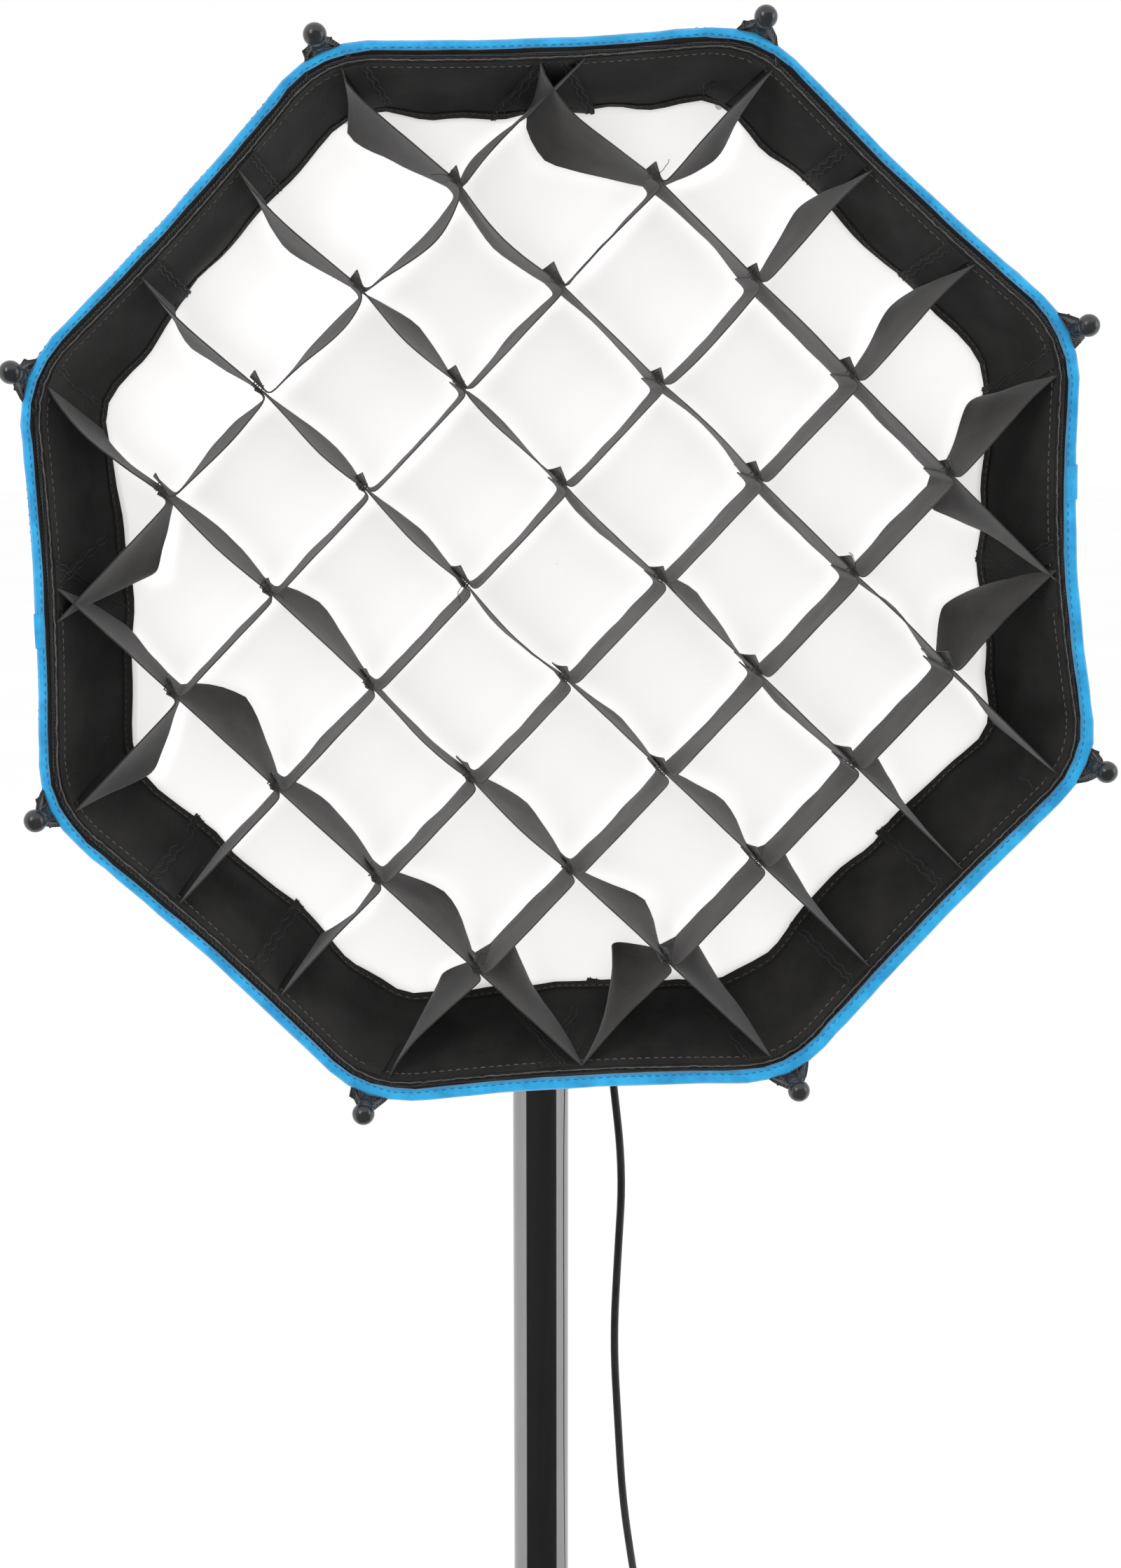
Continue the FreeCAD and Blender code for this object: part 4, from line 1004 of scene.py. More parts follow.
# The slack of each stretch of strip, end to end: how far its back edge leans out (for the through
# strips to the upper right, for the cross strips to the upper left), where along the stretch, and
# how far its front edge leans.
SLACK_B = (
    ((0, 0.4, 0), (23, 0.42, 0), (9, 0.42, 0), (17, 0.52, 0), (20, 0.25, 0)),
    ((-4, 0.4, -6), (5, 0.5, -2), (12, 0.35, 0), (-2, 0.6, -3), (9, 0.5, -2), (15, 0.66, 0), (16, 0.25, 0)),
    ((-10, 0.35, -3), (6, 0.6, -3), (4, 0.5, -3), (-5, 0.5, -3), (5, 0.6, 0), (12, 0.56, 0), (14, 0.25, 0)),
    ((-11, 0.35, -4), (9, 0.5, -4), (4, 0.3, -3), (-4, 0.4, -1), (11, 0.35, -1), (-3, 0.4, 0), (14, 0.28, 0)),
    ((-10, 0.2, -5), (-7, 0.5, -5), (3, 0.5, 0), (5, 0.5, 2), (-1, 0.4, 0), (7, 0.5, 1), (4, 0.4, 0)),
    ((-20, 0.35, -8), (3, 0.5, 0), (0, 0.5, 1), (0, 0.55, 0), (-14, 0.3, 0)),
)
SLACK_A = (
    ((-16, 0.28, 0), (4, 0.6, -2), (2, 0.7, -5), (-2, 0.6, -9), (8, 0.35, 3)),
    ((-8, 0.2, 0), (1, 0.4, 0), (1, 0.5, 0), (-1, 0.4, 0), (2, 0.6, 0), (-1, 0.3, 2), (-10, 0.55, 2)),
    ((0, 0.6, 0), (1, 0.5, 0), (0, 0.5, 0), (-2, 0.4, 0), (-2, 0.4, 0), (-2, 0.4, -2), (6, 0.7, 2)),
    ((-6, 0.5, 1), (0, 0.5, 0), (-1, 0.5, 0), (0, 0.5, 0), (0, 0.5, 0), (0, 0.5, 0), (6, 0.7, 2)),
    ((9, 0.35, 4), (1, 0.4, 0), (-1, 0.5, 0), (-2, 0.5, 0), (-1, 0.5, 0), (1, 0.6, 0), (9, 0.75, 2)),
    ((28, 0.45, 2), (0, 0.45, 0), (-1, 0.5, 0), (0, 0.5, 0), (16, 0.5, 2)),
)
# How far the back of each strip's end is sewn to one side of its front, in mm, at its start and its end.
SLANTS_B = ((14, 24), (0, 22), (0, 6), (0, 8), (-20, 0), (-26, -4))
SLANTS_A = ((-18, 0), (-30, -11), (0, 12), (0, 12), (0, 24), (0, 26))
# The cross strips hang a little below the middles of the crossings.
HANG = 4.2
ROW_SHARES = (0.0, 0.05, 0.18, 0.34, 0.5, 0.66, 0.82, 0.95, 1.0)
STRIP_DEEP = 50.0


def crossing(a, b):
    return GRID_MIDDLE + STEP_A * (a - 3.5) + STEP_B * (b - 3.5)


def has_crossing(a, b):
    return 1 <= a <= 6 and 1 <= b <= 6 and not (a in (1, 6) and b in (1, 6))


BAND_LINES = [
    [Vector(((p.x - AXIS_X) / MM, (p.z - AXIS_Z) / MM)) for p in band_ring(share * STRIP_DEEP / BAND_DEEP)]
    for share in ROW_SHARES
]


def on_band(start, towards, level):
    """Where a line from a crossing towards a strip's end meets the band, at one level of its depth."""
    way = (towards - start).normalized()
    side = Vector((-way.y, way.x))
    line = BAND_LINES[level]
    best = None
    for p, q in zip(line, line[1:] + line[:1]):
        u, v = (p - start).dot(side), (q - start).dot(side)
        if (u <= 0) == (v <= 0):
            continue
        hit = lerp(p, q, u / (u - v))
        reach = (hit - start).dot(way)
        if reach > 0 and (best is None or reach > best):
            best = reach
    return start + way * ((best or (towards - start).length) - 1.2)


def strip_stops(nodes, way, slants, across):
    """The upright lines that a strip is held at: its two ends on the band, and its crossings."""
    first, last = nodes[0] - way * BEYOND, nodes[-1] + way * BEYOND
    start, finish = [], []
    for level, share in enumerate(ROW_SHARES):
        start.append(on_band(nodes[0], first + across * slants[0] * share**1.2, level))
        finish.append(on_band(nodes[-1], last + across * slants[1] * share**1.2, level))
    return [start] + [[node] * len(ROW_SHARES) for node in nodes] + [finish]


def lean(t, peak, sharp):
    """A bump from 0 to 1 and back along a stretch, highest at its peak; sharp makes it a corner."""
    u = t ** (math.log(0.5) / math.log(peak))
    point = 1 - abs(2 * u - 1) ** 1.25
    return lerp(math.sin(math.pi * u) ** 1.15, point, sharp)


def stretch_rows(starts, ends, slack, across, count):
    """The points of one stretch between two upright lines given for every row, front to back."""
    out, peak, front_out = slack
    rows = []
    for level, share in enumerate(ROW_SHARES):
        line = []
        for step in range(count + 1):
            t = step / count
            amount = lerp(front_out, out, share**1.25) * lean(t, peak, min(1, abs(out) / 20))
            flat = lerp(starts[level], ends[level], t) + across * amount
            short = STRIP_DEEP - math.sqrt(max(STRIP_DEEP**2 - (amount - front_out) ** 2, 900))
            deep = GRID_FRONT + share * STRIP_DEEP - share * short
            crinkle = rough(plain(flat.x, flat.y, deep), 16, 21) * 0.9 * math.sin(math.pi * t) * (0.3 + share)
            flat = flat + across * crinkle
            line.append((flat, deep))
        rows.append(line)
    return rows


def turned(rows):
    """Rows from front to back become rows from end to end."""
    return [list(line) for line in zip(*rows)]


def make_through_strips(shape):
    """The six long strips: each in one length, its back edge loose between the crossings."""
    for number in range(6):
        b = number + 1
        nodes = [crossing(a, b) for a in range(1, 7) if has_crossing(a, b)]
        stops = strip_stops(nodes, WAY_A, SLANTS_B[number], WAY_B)
        whole = None
        for index, slack in enumerate(SLACK_B[number]):
            rows = stretch_rows(stops[index], stops[index + 1], slack, WAY_B, 12)
            if whole is None:
                whole = rows
            else:
                whole = [line + more[1:] for line, more in zip(whole, rows)]
        points = [[plain(flat.x, flat.y, deep) for flat, deep in line] for line in whole]
        shape.sheet(turned(points), 0.9)


TAB = 14.0
HALF_CLOTH = 1.15


def make_cross_strip(shape, number, index, stops, slack):
    """One short strip: its ends turn up along the through strips and are sewn to them."""
    starts, ends = stops
    inner_start = index > 0
    inner_end = index < len(SLACK_A[number]) - 1
    back_way = -WAY_A
    net = []
    rows = stretch_rows(starts, ends, slack, back_way, 14)
    for level, line in enumerate(rows):
        share = ROW_SHARES[level]
        points = []
        if inner_start:
            node = starts[level]
            wide = TAB * (1 + 0.2 * math.sin(number * 2.1 + index * 1.3))
            flare = 4.5 * (1 - share) ** 2
            deep = line[0][1]
            far_out = WAY_B * (HALF_CLOTH + flare)
            near_out = WAY_B * (HALF_CLOTH + flare * 0.6)
            points.append((node + back_way * wide + far_out, deep - (2.4 if level == 0 else 0)))
            points.append((node + back_way * wide * 0.7 + near_out, deep - (1.0 if level == 0 else 0)))
            points.append((node + back_way * 3.4 + WAY_B * HALF_CLOTH, deep))
            points.append((node + back_way * 0.8 + WAY_B * 2.2, deep))
        body = line[1:] if inner_start else line
        points += body[:-1] if inner_end else body
        if inner_end:
            node = ends[level]
            deep = line[-1][1]
            points.append((node + back_way * 0.6 - WAY_B * 2.4, deep))
            points.append((node + back_way * 3.4 - WAY_B * HALF_CLOTH, deep))
            sewn = WAY_B * (HALF_CLOTH + 1.2 * (1 - share))
            points.append((node + back_way * (8 + 2 * share) - sewn, deep))
        flat = smoothed([Vector((p.x, p.y, d)) for p, d in points], 1)
        net.append([plain(p.x, p.y, p.z) for p in flat])
    shape.sheet(turned(net), 0.9)


def make_cross_strips(shape):
    for number in range(6):
        a = number + 1
        nodes = [crossing(a, b) + WAY_A * HANG for b in range(1, 7) if has_crossing(a, b)]
        stops = strip_stops(nodes, WAY_B, SLANTS_A[number], -WAY_A)
        for index, slack in enumerate(SLACK_A[number]):
            make_cross_strip(shape, number, index, (stops[index], stops[index + 1]), slack)


def make_end_flaps(shape, stitches):
    """Where a strip meets the band its end is folded flat against the band and sewn down."""
    plans = []
    for number in range(6):
        nodes_a = [crossing(number + 1, b) for b in range(1, 7) if has_crossing(number + 1, b)]
        nodes_b = [crossing(a, number + 1) for a in range(1, 7) if has_crossing(a, number + 1)]
        for nodes, way, ways in ((nodes_a, WAY_B, (-WAY_A, -WAY_A)), (nodes_b, WAY_A, (WAY_B, -WAY_B))):
            plans.append((nodes[0], nodes[0] - way * BEYOND, ways[0]))
            plans.append((nodes[-1], nodes[-1] + way * BEYOND, ways[1]))
    for order, (node, end, side_way) in enumerate(plans):
        wide = 17 + 4 * math.sin(order * 1.7)
        net = []
        for level, share in enumerate(ROW_SHARES):
            line = BAND_LINES[level]
            foot = on_band(node, end, level)
            near = min(range(len(line)), key=lambda k: (line[k] - foot).length)
            along = (line[(near + 1) % len(line)] - line[near - 1]).normalized()
            if along.dot(side_way) < 0:
                along = -along
            inward = -foot.normalized()
            deep = GRID_FRONT + share * BAND_DEEP
            points = []
            for step in range(5):
                out = along * wide * step / 4 + inward * (0.8 + 1.2 * share * step / 4)
                points.append(plain(foot.x + out.x, foot.y + out.y, deep + (2.5 if level == 8 else 0)))
            net.append(points)
        shape.sheet(turned(net), 0.9)
        for side in (0.35, 0.75):
            path = []
            for step in range(15):
                share = step / 14
                low = min(int(share * 8), 7)
                level_point = lerp(net[low][2], net[low + 1][2], share * 8 - low)
                edge_point = lerp(net[low][4], net[low + 1][4], share * 8 - low)
                point = lerp(level_point, edge_point, side + (0.2 if step % 2 else 0))
                inward = at(0, 0, 0) - point
                inward.y = 0
                path.append(point + inward.normalized() * 0.8 * MM)
            stitches.tube(path, 0.35, 4)


def make_node_stitches(stitches, loose):
    """Bar tacks over the cloth at the front of each crossing, and some loose ends of thread."""
    for a in range(1, 7):
        for b in range(1, 7):
            if not has_crossing(a, b):
                continue
            node = crossing(a, b)
            for step in range(4):
                foot = node - WAY_A * (1.5 + step * 1.8)
                path = []
                for across, deep in ((3.0, 9), (2.4, 4.2), (1.2, 2.4), (0, 2.6), (-1.4, 3.4), (-1.8, 8.5)):
                    place = foot + WAY_B * across + WAY_A * math.sin(step * 2.4 + a + across) * 0.5
                    path.append(plain(place.x, place.y, deep))
                stitches.tube(smoothed(path, 1), 0.4, 5)
            if (a * 5 + b * 3) % 4 == 0:
                start = node - WAY_A * 4
                heading = random.uniform(0, math.tau)
                path = [plain(start.x, start.y, 3)]
                flat = start.copy()
                for step in range(6):
                    heading += random.uniform(-0.7, 0.7)
                    flat = flat + Vector((math.cos(heading), math.sin(heading))) * 2.2
                    path.append(plain(flat.x, flat.y, 2 + random.uniform(-1.5, 1.5)))
                loose.tube(smoothed(path, 2), 0.25, 4)


def make_strips():
    through = Shape()
    make_through_strips(through)
    long_piece = through.piece("through_strips", GRID_CLOTH, "grid", "grid_fabric", ("grid_long_strips",))
    cross = Shape()
    make_cross_strips(cross)
    cross_piece = cross.piece("cross_strips", GRID_CLOTH, "grid", "grid_fabric", ("grid_cross_strips",))
    flaps, stitches, loose = Shape(), Shape(), Shape()
    make_end_flaps(flaps, stitches)
    make_node_stitches(stitches, loose)
    flaps.piece("strip_flaps", BAND_CLOTH, "grid", "grid_fabric")
    stitches.piece("grid_stitches", THREAD, "grid", "grid_fabric")
    loose.piece("loose_threads", THREAD, "grid", "grid_fabric")


make_strips()

# ---------------------------------------------------------------- diffuser, baffle, rods and tips

DIFFUSER_DEEP = 61.8


def octagon_sheet(apothem, deep, rings, sag, seed, thickness):
    """A stretched octagonal cloth, with a few faint creases running in from its corners."""
    rows = []
    for step in range(rings + 1):
        share = max(step / rings, 0.004)
        flat = ring(apothem * share, deep, 24 * share, 0, share * (1 - deep / SHELL_DEPTH))
        line = []
        for point in drawn_in(flat, share**2, outwards_only=True):
            crease = rough(point, 120, seed) * 1.6 + rough(point, 34, seed + 1) * 0.5
            hold = 1 - share**4
            line.append(point + Vector((0, (sag * (1 - share**2) + crease * hold) * MM, 0)))
        rows.append(line)
    shape = Shape()
    shape.sheet(rows, thickness, round_v=True)
    return shape


def make_diffusers():
    cloth = octagon_sheet(268.0, DIFFUSER_DEEP + 0.6, 14, 0, 31, 0.5)
    front = cloth.piece("front_diffuser", DIFFUSER_PAINTED_GLOW, "softbox", "diffuser_white", ("diffuser",))
    cloth = octagon_sheet(139.0, 150.8, 8, 2.0, 35, 0.5)
    inner = cloth.piece("inner_diffuser", BAFFLE, "softbox", "diffuser_white", ("inner_baffle",))


ROD_FRONT_DEEP, ROD_BACK_DEEP = 4.0, 254.0
ROD_FRONT_RADIUS, ROD_BACK_RADIUS = 325.2, 92.0
ROD_BULGE = 29.0
TIP_LEAN = math.radians(22)


def corner_angle(index, fade=1.0):
    return math.radians(22.5 + 45 * index + CORNER_SHIFTS[index][1] * fade)


def rod_radius_at(deep):
    share = (deep - ROD_FRONT_DEEP) / (ROD_BACK_DEEP - ROD_FRONT_DEEP)
    return lerp(ROD_FRONT_RADIUS, ROD_BACK_RADIUS, share) + 4 * ROD_BULGE * 1.22 * share * (1 - share)


def rod_point(index, deep):
    """A point on a rod: bowed out against the shell's lining, never through it."""
    fade = 1 - min(1, max(0, deep / ROD_BACK_DEEP))
    shift = CORNER_SHIFTS[index][0]
    radius = rod_radius_at(deep) + (shift - 4.0) * fade - 0.6
    share = min(1.0, max(0.0, deep / SHELL_DEPTH))
    lining = shell_apothem(deep) * TO_CORNER + shift * fade - 0.2 * lerp(26.0, 9.0, share) - 5.2
    tucked = min(1.0, max(0.0, (deep - 4) / 26))
    return polar(lerp(radius, min(radius, lining), tucked), corner_angle(index, fade), deep)


def make_rods():
    rods, tips, straps, caps = Shape(), Shape(), Shape(), Shape()
    for index in range(8):
        path = [rod_point(index, ROD_FRONT_DEEP + 10 * step) for step in range(26)]
        front = path[0]
        way = (path[0] - path[1]).normalized()
        angle = corner_angle(index)
        out = (polar(10, angle, 0) - at(0, 0, 0)).normalized()
        way = (out * math.sin(TIP_LEAN) + Vector((0, -math.cos(TIP_LEAN), 0))).normalized()
        back_way = (path[-1] - path[-2]).normalized()
        rods.tube([front + way * 10 * MM] + path + [path[-1] + back_way * 16 * MM], 2.5, 10)
        # a turned tip: collar, waisted neck and ball
        neck = [(0.6, 7), (3.6, 7), (4.1, 8), (4.3, 11), (3.6, 13.2), (2.9, 14.6), (3.0, 15.4)]
        ball = []
        for step in range(1, 13):
            turn = math.radians(152 - step * 12.6)
            ball.append((max(6.6 * math.sin(turn), 0.15), 20 - 6.6 * math.cos(math.pi - turn)))
        tips.lathe(axis_frame(front, way), neck + ball, 24)
        # elastic from the baffle's corner to the rod, sewn back on itself
        baffle_corner = polar(138 * TO_CORNER, corner_angle(index, 0), 151)
        rod_side = rod_point(index, 151)
        across = (rod_side - baffle_corner).cross(Vector((0, 1, 0))).normalized()
        net = []
        for step in range(7):
            t = step / 6
            middle = lerp(baffle_corner, rod_side, t)
            net.append([middle + across * side * MM for side in (-3.2, 0, 3.2)])
        straps.sheet(net, 1.1)
        net = [[point + Vector((0, -1.4 * MM, 0)) for point in line] for line in net[:2]]
        straps.sheet(net, 1.1)
        # a reinforcement patch on the shell over the rod's end
        patch = []
        for side in (-9, -4, 0, 4, 9):
            line = []
            for deep in (2, 8, 15, 22):
                spread = side / 320
                radius = rod_radius_at(deep) + CORNER_SHIFTS[index][0] + 0.9 - abs(side) * 0.22
                line.append(polar(radius, corner_angle(index) + spread, deep))
            patch.append(line)
        caps.sheet(patch, 1.2)
    rods.piece("rod_set", STEEL, "softbox", "rod_steel", ("rods",))
    tips.piece("ball_tips", TIP_PLASTIC, "softbox", "tip_plastic", ("rod_tips",), crease=50)
    straps.piece("elastic_straps", ELASTIC, "softbox", "elastic", ("baffle_straps",))
    caps.piece("corner_patches", SHELL_CLOTH, "softbox", "shell_fabric")


def make_corner_flaps():
    """Two hook-and-loop straps at each corner, drawn up from the shell to the neck of the ball tip."""
    flaps = Shape()
    for index in range(8):
        angle = corner_angle(index)
        out = (polar(10, angle, 0) - at(0, 0, 0)).normalized()
        front = rod_point(index, ROD_FRONT_DEEP)
        way = (out * math.sin(TIP_LEAN) + Vector((0, -math.cos(TIP_LEAN), 0))).normalized()
        neck = front + way * 9.5 * MM
        for side in (-1, 1):
            tangent = (polar(300, angle + side * 0.1, 0) - polar(300, angle, 0)).normalized()
            wide = 15 + 3 * math.sin(index * 2.3 + side)
            base = front + tangent * wide * MM - out * (3.0 + 0.4 * wide) * MM + Vector((0, 3 * MM, 0))
            net = []
            for step in range(8):
                t = step / 7
                middle = lerp(base, neck + tangent * 3.4 * MM, t)
                middle += out * (3.2 * math.sin(math.pi * t)) * MM
                half = lerp(9.0, 6.0, t)
                tilt = Vector((0, 1, 0)) * math.cos(t * 0.6) - way * math.sin(t * 0.6)
                line = []
                for share in (-1, -0.5, 0, 0.5, 1):
                    point = middle + tilt * half * share * MM + tilt * lerp(6, 0, t) * MM
                    fuzz = Vector((rough(point, 3, 41), rough(point, 3, 42), rough(point, 3, 43)))
                    line.append(point + fuzz * 0.7 * MM)
                net.append(line)
            flaps.sheet(net, 2.0)
        # the straps' cloth between the tip and the rim
        net = []
        tangent = (polar(300, angle + 0.1, 0) - polar(300, angle - 0.1, 0)).normalized()
        for step in range(9):
            t = step / 8 * 2 - 1
            inset = out * (4.5 + 0.4 * abs(t) * 15) * MM
            foot = front + tangent * 15 * t * MM - inset + Vector((0, 3 * MM, 0))
            top = neck + tangent * 3.2 * t * MM - out * 1.0 * MM
            line = []
            for rung in range(5):
                point = lerp(foot, top, rung / 4)
                fuzz = Vector((rough(point, 3, 44), rough(point, 3, 45), rough(point, 3, 46)))
                line.append(point + Vector((0, 1.5 * math.sin(math.pi * rung / 4) * MM, 0)) + fuzz * 0.9 * MM)
            net.append(line)
        flaps.sheet(net, 1.8)
        # the free end of one strap, past the tape
        side = 1 if index in (0, 2, 4, 7) else -1
        net = []
        for step in range(5):
            t = step / 4
            inset = out * (8.5 + 2.8 * t) * MM
            foot = front + tangent * side * (15 + 7 * t) * MM - inset + Vector((0, 4 * MM, 0))
            net.append([foot + out * (2 + high) * MM for high in (-3, 0, 3 + 1.6 * t)])
        flaps.sheet(net, 1.6)
    flaps.piece("corner_straps", HOOK_LOOP, "softbox", "hook_loop", ("corner_tabs",))


def make_cuff():
    """The gathered collar of cloth between the shell and the ring, and its draw tape."""
    rows = []
    for step in range(9):
        t = step / 8
        deep = 249 + 17 * t
        radius = 104.5 - 13.5 * t**1.3
        line = []
        for number in range(184):
            turn = math.tau * number / 184 + HALF_SECTOR
            gather = 0.9 * math.sin(turn * 46 + 2 * math.sin(turn * 5)) * math.sin(math.pi * min(1, t + 0.15))
            line.append(polar(radius + gather, turn, deep))
        rows.append(line)
    shape = Shape()
    shape.sheet(rows, 1.1, round_v=True)
    shape.piece("gathered_cuff", SHELL_CLOTH, "softbox", "shell_fabric", ("ring_cuff",))
    tape = Shape()
    tape.tube([polar(91.2, math.tau * number / 96, 266) for number in range(96)], 1.6, 8, closed=True)
    tape.piece("cuff_cord", ELASTIC, "softbox", "elastic")


make_diffusers()
make_rods()
make_corner_flaps()
make_cuff()

# ---------------------------------------------------------------- the flash head's details

CASING_RADIUS = 68.0


def on_casing(radius, angle, deep):
    """A frame on the head's round casing: X back along it, Y round it, Z outwards; angle in degrees."""
    turn = math.radians(angle)
    out = Vector((math.cos(turn), 0, math.sin(turn)))
    back = Vector((0, 1, 0))
    matrix = Matrix((back, out.cross(back), out)).transposed().to_4x4()
    matrix.translation = plain(radius * math.cos(turn), radius * math.sin(turn), deep)
    return matrix


def facing_back(node, offset=0.0):
    """A frame at the middle of a node's rear face: Z straight back."""
    low, high = (Vector(corner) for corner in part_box(node))
    place = Vector(((low.x + high.x) / 2, high.y + offset * MM, (low.z + high.z) / 2))
    return axis_frame(place, (0, 1, 0))


def screw_head(shape, place, radius):
    """A pan head with a crossed slot."""
    profile = [(radius, -0.5), (radius, 0.6), (radius * 0.85, 1.3), (radius * 0.3, 1.7), (0.2, 1.7)]
    shape.lathe(place, profile, 20)
    for turn in (45, 135):
        cut = place @ Matrix.Rotation(math.radians(turn), 4, "Z")
        shape.box(cut, (-radius * 0.62, -0.35, 1.2), (radius * 0.62, 0.35, 1.85), 0.1)


def make_head_details():
    ribs, beads, screws, marks = Shape(), Shape(), Shape(), Shape()
    for side in (0, 180):
        for step in range(-3, 4):
            place = on_casing(CASING_RADIUS - 0.4, side + step * 8, 428)
            ribs.box(place, (0, -1.3, 0), (62, 1.3, 1.9), 0.3)
            place = on_casing(CASING_RADIUS - 0.4, side + step * 8, 322)
            ribs.box(place, (0, -1.3, 0), (58, 1.3, 1.9), 0.3)
    for deep, thick in ((301.5, 1.0), (401.5, 0.8), (406.5, 0.8), (517.5, 1.2)):
        beads.tube([plain(CASING_RADIUS * math.cos(t), CASING_RADIUS * math.sin(t), deep) for t in
                    (math.tau * number / 72 for number in range(72))], thick, 8, closed=True)
    for angle in (45, 135, 225, 315):
        turn = math.radians(angle)
        screw_head(screws, axis_frame(plain(57 * math.cos(turn), 57 * math.sin(turn), 516), (0, 1, 0)), 3.2)
    low, high = (Vector(corner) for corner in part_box("mode_dial"))
    middle = ((low.x + high.x) / 2, (low.z + high.z) / 2)
    for step in range(11):
        turn = math.radians(225 - step * 27)
        place = axis_frame(Vector((middle[0], plain(0, 0, 516).y, middle[1])), (0, 1, 0))
        place = place @ Matrix.Rotation(turn, 4, "Z")
        marks.box(place, (18.4, -0.4, -0.2), (21.2 if step % 5 else 22.4, 0.4, 0.35), 0.1)
    ribs.piece("casing_ribs", CASING, "head", "casing_plastic")
    beads.piece("casing_beads", CASING_DARK, "head", "casing_plastic")
    screws.piece("panel_screws", STEEL, "head", "casing_plastic")
    marks.piece("dial_ticks", MARKING, "head", "casing_plastic")

    # the dial's fluted grip and its pointer
    grip, pointer = Shape(), Shape()
    dial = facing_back("mode_dial")
    for number in range(28):
        place = dial @ Matrix.Rotation(math.tau * number / 28, 4, "Z")
        grip.box(place, (15.4, -0.7, -12.5), (16.5, 0.7, -0.8), 0.25)
    grip.lathe(dial, [(13.5, -0.5), (13.5, 0.5), (12.8, 0.9), (0.3, 0.9)], 40)
    pointer.box(dial, (4.0, -0.7, 0.6), (12.2, 0.7, 1.25), 0.15)
    grip.piece("dial_grip", CONTROL, "mode_dial", "control_plastic")
    pointer.piece("dial_pointer", MARKING, "mode_dial", "control_plastic")
    for node in ("button_1", "button_2"):
        cap = Shape()
        cap.lathe(facing_back(node), [(4.7, -0.5), (4.7, 0.25), (4.2, 0.6), (2.0, 0.35), (0.2, 0.3)], 28)
        cap.piece(node + "_cap", RUBBER, node, "control_plastic")
    rocker = Shape()
    place = facing_back("power_rocker")
    rocker.box(place, (-8.2, -0.5, -0.6), (-6.8, 0.5, 0.3), 0.1)
    off_side = place @ Matrix.Translation((7.4 * MM, 0, 0))
    rocker.lathe(off_side, [(1.4, -0.6), (1.4, 0.2), (0.9, 0.3), (0.1, 0.3)], 16)
    rocker.piece("rocker_marks", MARKING, "power_rocker", "control_plastic")
    lamp = Shape()
    lamp_place = axis_frame(plain(-30, -6, 516), (0, 1, 0))
    lamp.lathe(lamp_place, [(1.9, -0.5), (1.9, 0.6), (1.4, 1.3), (0.2, 1.6)], 18)
    lamp.piece("ready_light", FROSTED, "head", "control_plastic")
    low, high = (Vector(corner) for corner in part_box("bayonet_release"))
    release = Shape()
    for step in range(5):
        y = lerp(low.y, high.y, (step + 0.8) / 5.6)
        start = Vector((lerp(low.x, high.x, 0.15), y, high.z - 0.1 * MM))
        release.tube([start, Vector((lerp(low.x, high.x, 0.85), y, high.z - 0.1 * MM))], 0.7, 8)
    release.piece("release_ribs", CONTROL, "bayonet_release", "control_plastic")
    relief = Shape()
    gland = axis_frame(row(3, 172, 1006.8), (0, 0, -1))
    profile = []
    for step in range(7):
        wide = 5.6 - step * 0.35
        far = step * 3.4
        profile += [(wide, -2 + far), (wide, 0.2 + far), (wide - 1.0, 0.5 + far), (wide - 1.0, 1.1 + far)]
    relief.lathe(gland, profile, 20)
    relief.piece("cord_relief", RUBBER, "head", "handle_rubber")
    handle = Shape()
    low, high = (Vector(corner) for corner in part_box("carry_handle"))
    for step in range(9):
        y = lerp(low.y, high.y, 0.22 + 0.56 * step / 8)
        middle = Vector(((low.x + high.x) / 2, y, high.z - 7 * MM))
        turns = [math.tau * number / 24 for number in range(24)]
        loop = [middle + Vector((math.cos(turn), 0, math.sin(turn))) * 7 * MM for turn in turns]
        handle.tube(loop, 0.8, 6, closed=True)
    handle.piece("handle_rings", RUBBER, "head", "handle_rubber")


# ---------------------------------------------------------------- the stand's details

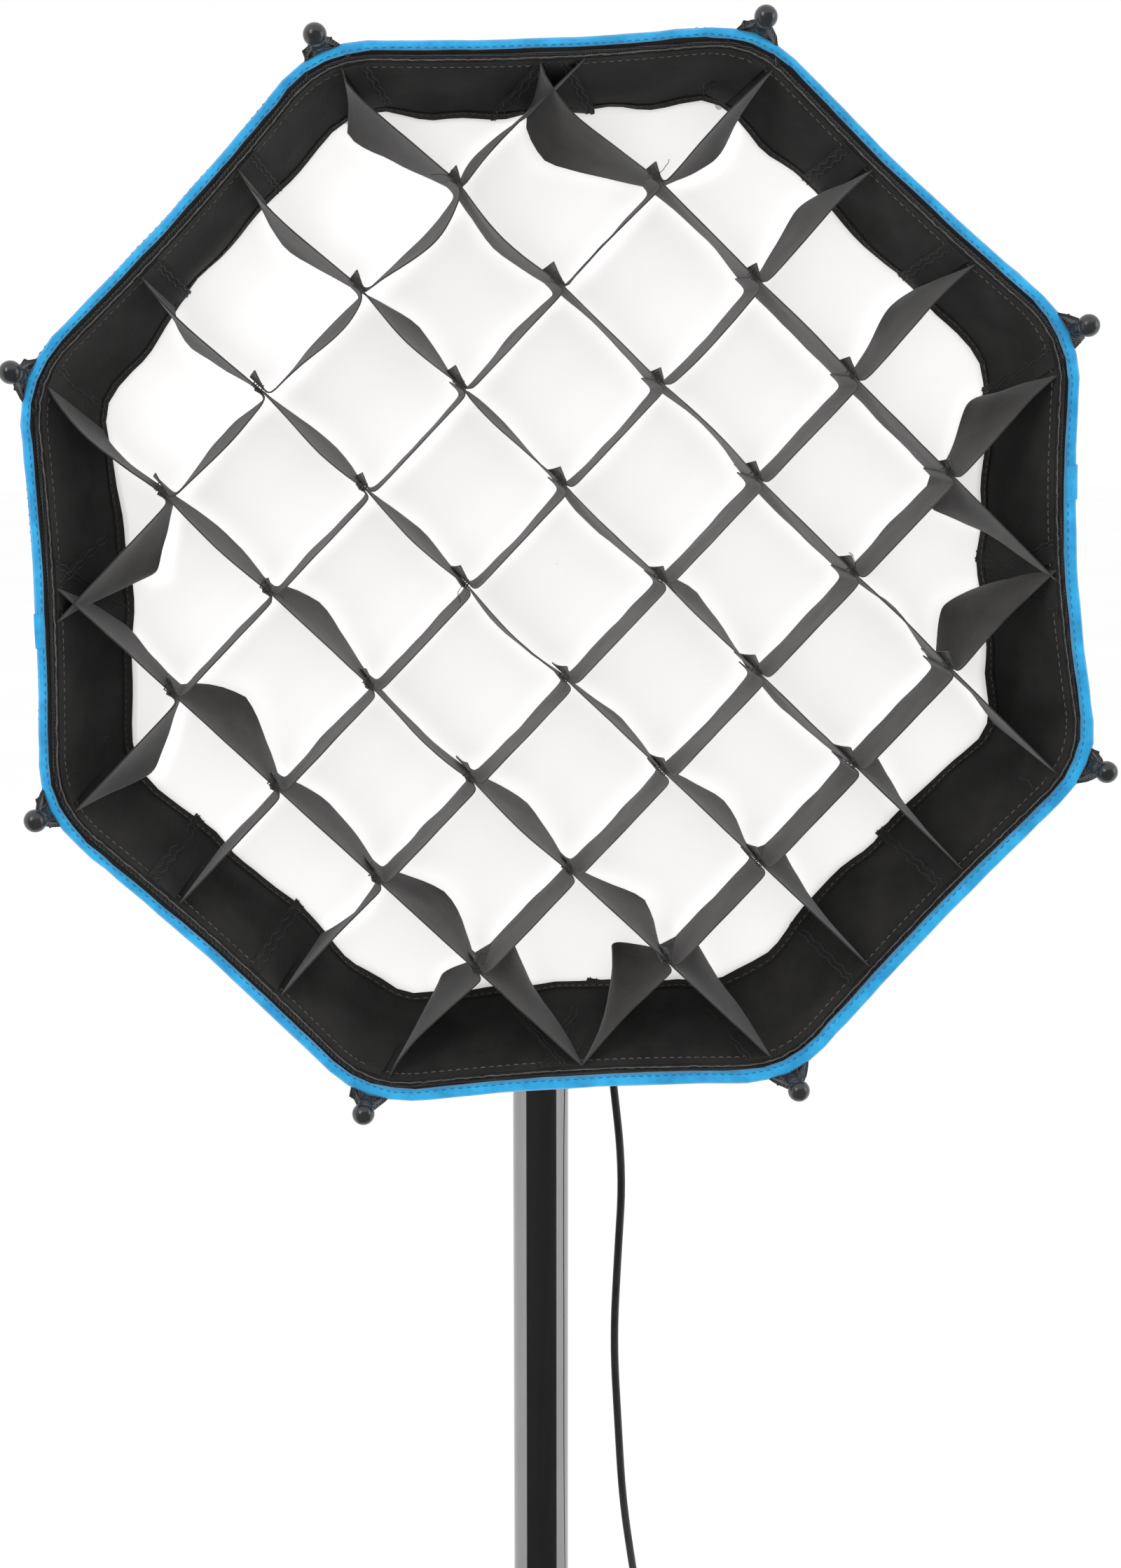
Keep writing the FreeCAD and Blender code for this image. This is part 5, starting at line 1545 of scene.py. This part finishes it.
def make_stand_details():
    rings, bolts = Shape(), Shape()

    def hoop(shape, radius, height, thick, x=0, y=120):
        loop = []
        for number in range(64):
            turn = math.tau * number / 64
            loop.append(row(x + radius * math.cos(turn), y + radius * math.sin(turn), height))
        shape.tube(loop, thick, 8, closed=True)

    hoop(rings, 21.2, 128, 0.9)
    hoop(rings, 21.2, 140, 0.9)
    rings.piece("column_rings", CHROME, "base", "stand_chrome")
    collar = Shape()
    hoop(collar, 29.0, 731.5, 1.0)
    hoop(collar, 29.0, 794.5, 1.0)
    collar.piece("collar_beads", PAINTED, "base", "stand_casting")
    for angle in (200, 250, 290, 340):
        turn = math.radians(angle)
        out = Vector((math.cos(turn), math.sin(turn), 0))
        screw_head(bolts, axis_frame(row(0, 120, 745) + out * 28.7 * MM, out), 2.6)
    bolts.piece("collar_rivets", STEEL, "base", "stand_casting")
    cap = Shape()
    hoop(cap, 17.2, 867, 1.0)
    cap.piece("riser_bead", CHROME, "riser", "stand_chrome")
    for number, body in ((1, "base"), (2, "leg_2"), (3, "leg_3")):
        low, high = (Vector(corner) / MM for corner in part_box(f"foot_{number}"))
        tread = Shape()
        for height in (2.5, 6.5, 10.5):
            hoop(tread, 16.0, height, 0.9, (low.x + high.x) / 2, (low.y + high.y) / 2)
        tread.piece(f"foot_tread_{number}", RUBBER, body, "handle_rubber")
    nut = Shape()
    for inner, far, sides in ((12.0, 1.4, 32), (8.2, 6.6, 6)):
        profile = [(inner, 0), (inner, far * 0.85), (inner * 0.88, far)]
        nut.lathe(axis_frame(row(-29.4, 120, 994), (-1, 0, 0)), profile, sides)
    nut.piece("pivot_nut", STEEL, "head", "ring_alloy", crease=25)
    plug = Shape()
    for step in range(6):
        x = 3 - step * 2.6
        radius = 4.4 + step * 0.55
        loop = [row(x, 476 + radius * math.cos(t), 19 + radius * math.sin(t)) for t in
                (math.tau * number / 24 for number in range(24))]
        plug.tube(loop, 0.9, 6, closed=True)
    plug.piece("plug_relief", CORD_RUBBER, "base", "cord_rubber")
    sleeves, prongs = Shape(), Shape()
    for y in (466.5, 485.5):
        place = axis_frame(row(-46, y, 19), (-1, 0, 0))
        sleeves.lathe(place, [(2.75, 0), (2.75, 9), (2.45, 9.3)], 20)
        prongs.lathe(place, [(2.5, 9), (2.5, 18.2), (1.9, 19.3), (0.1, 19.4)], 20)
    sleeves.piece("pin_sleeves", CORD_RUBBER, "base", "cord_rubber")
    prongs.piece("plug_pins", STEEL, "base", "stud_steel")


make_head_details()
make_stand_details()
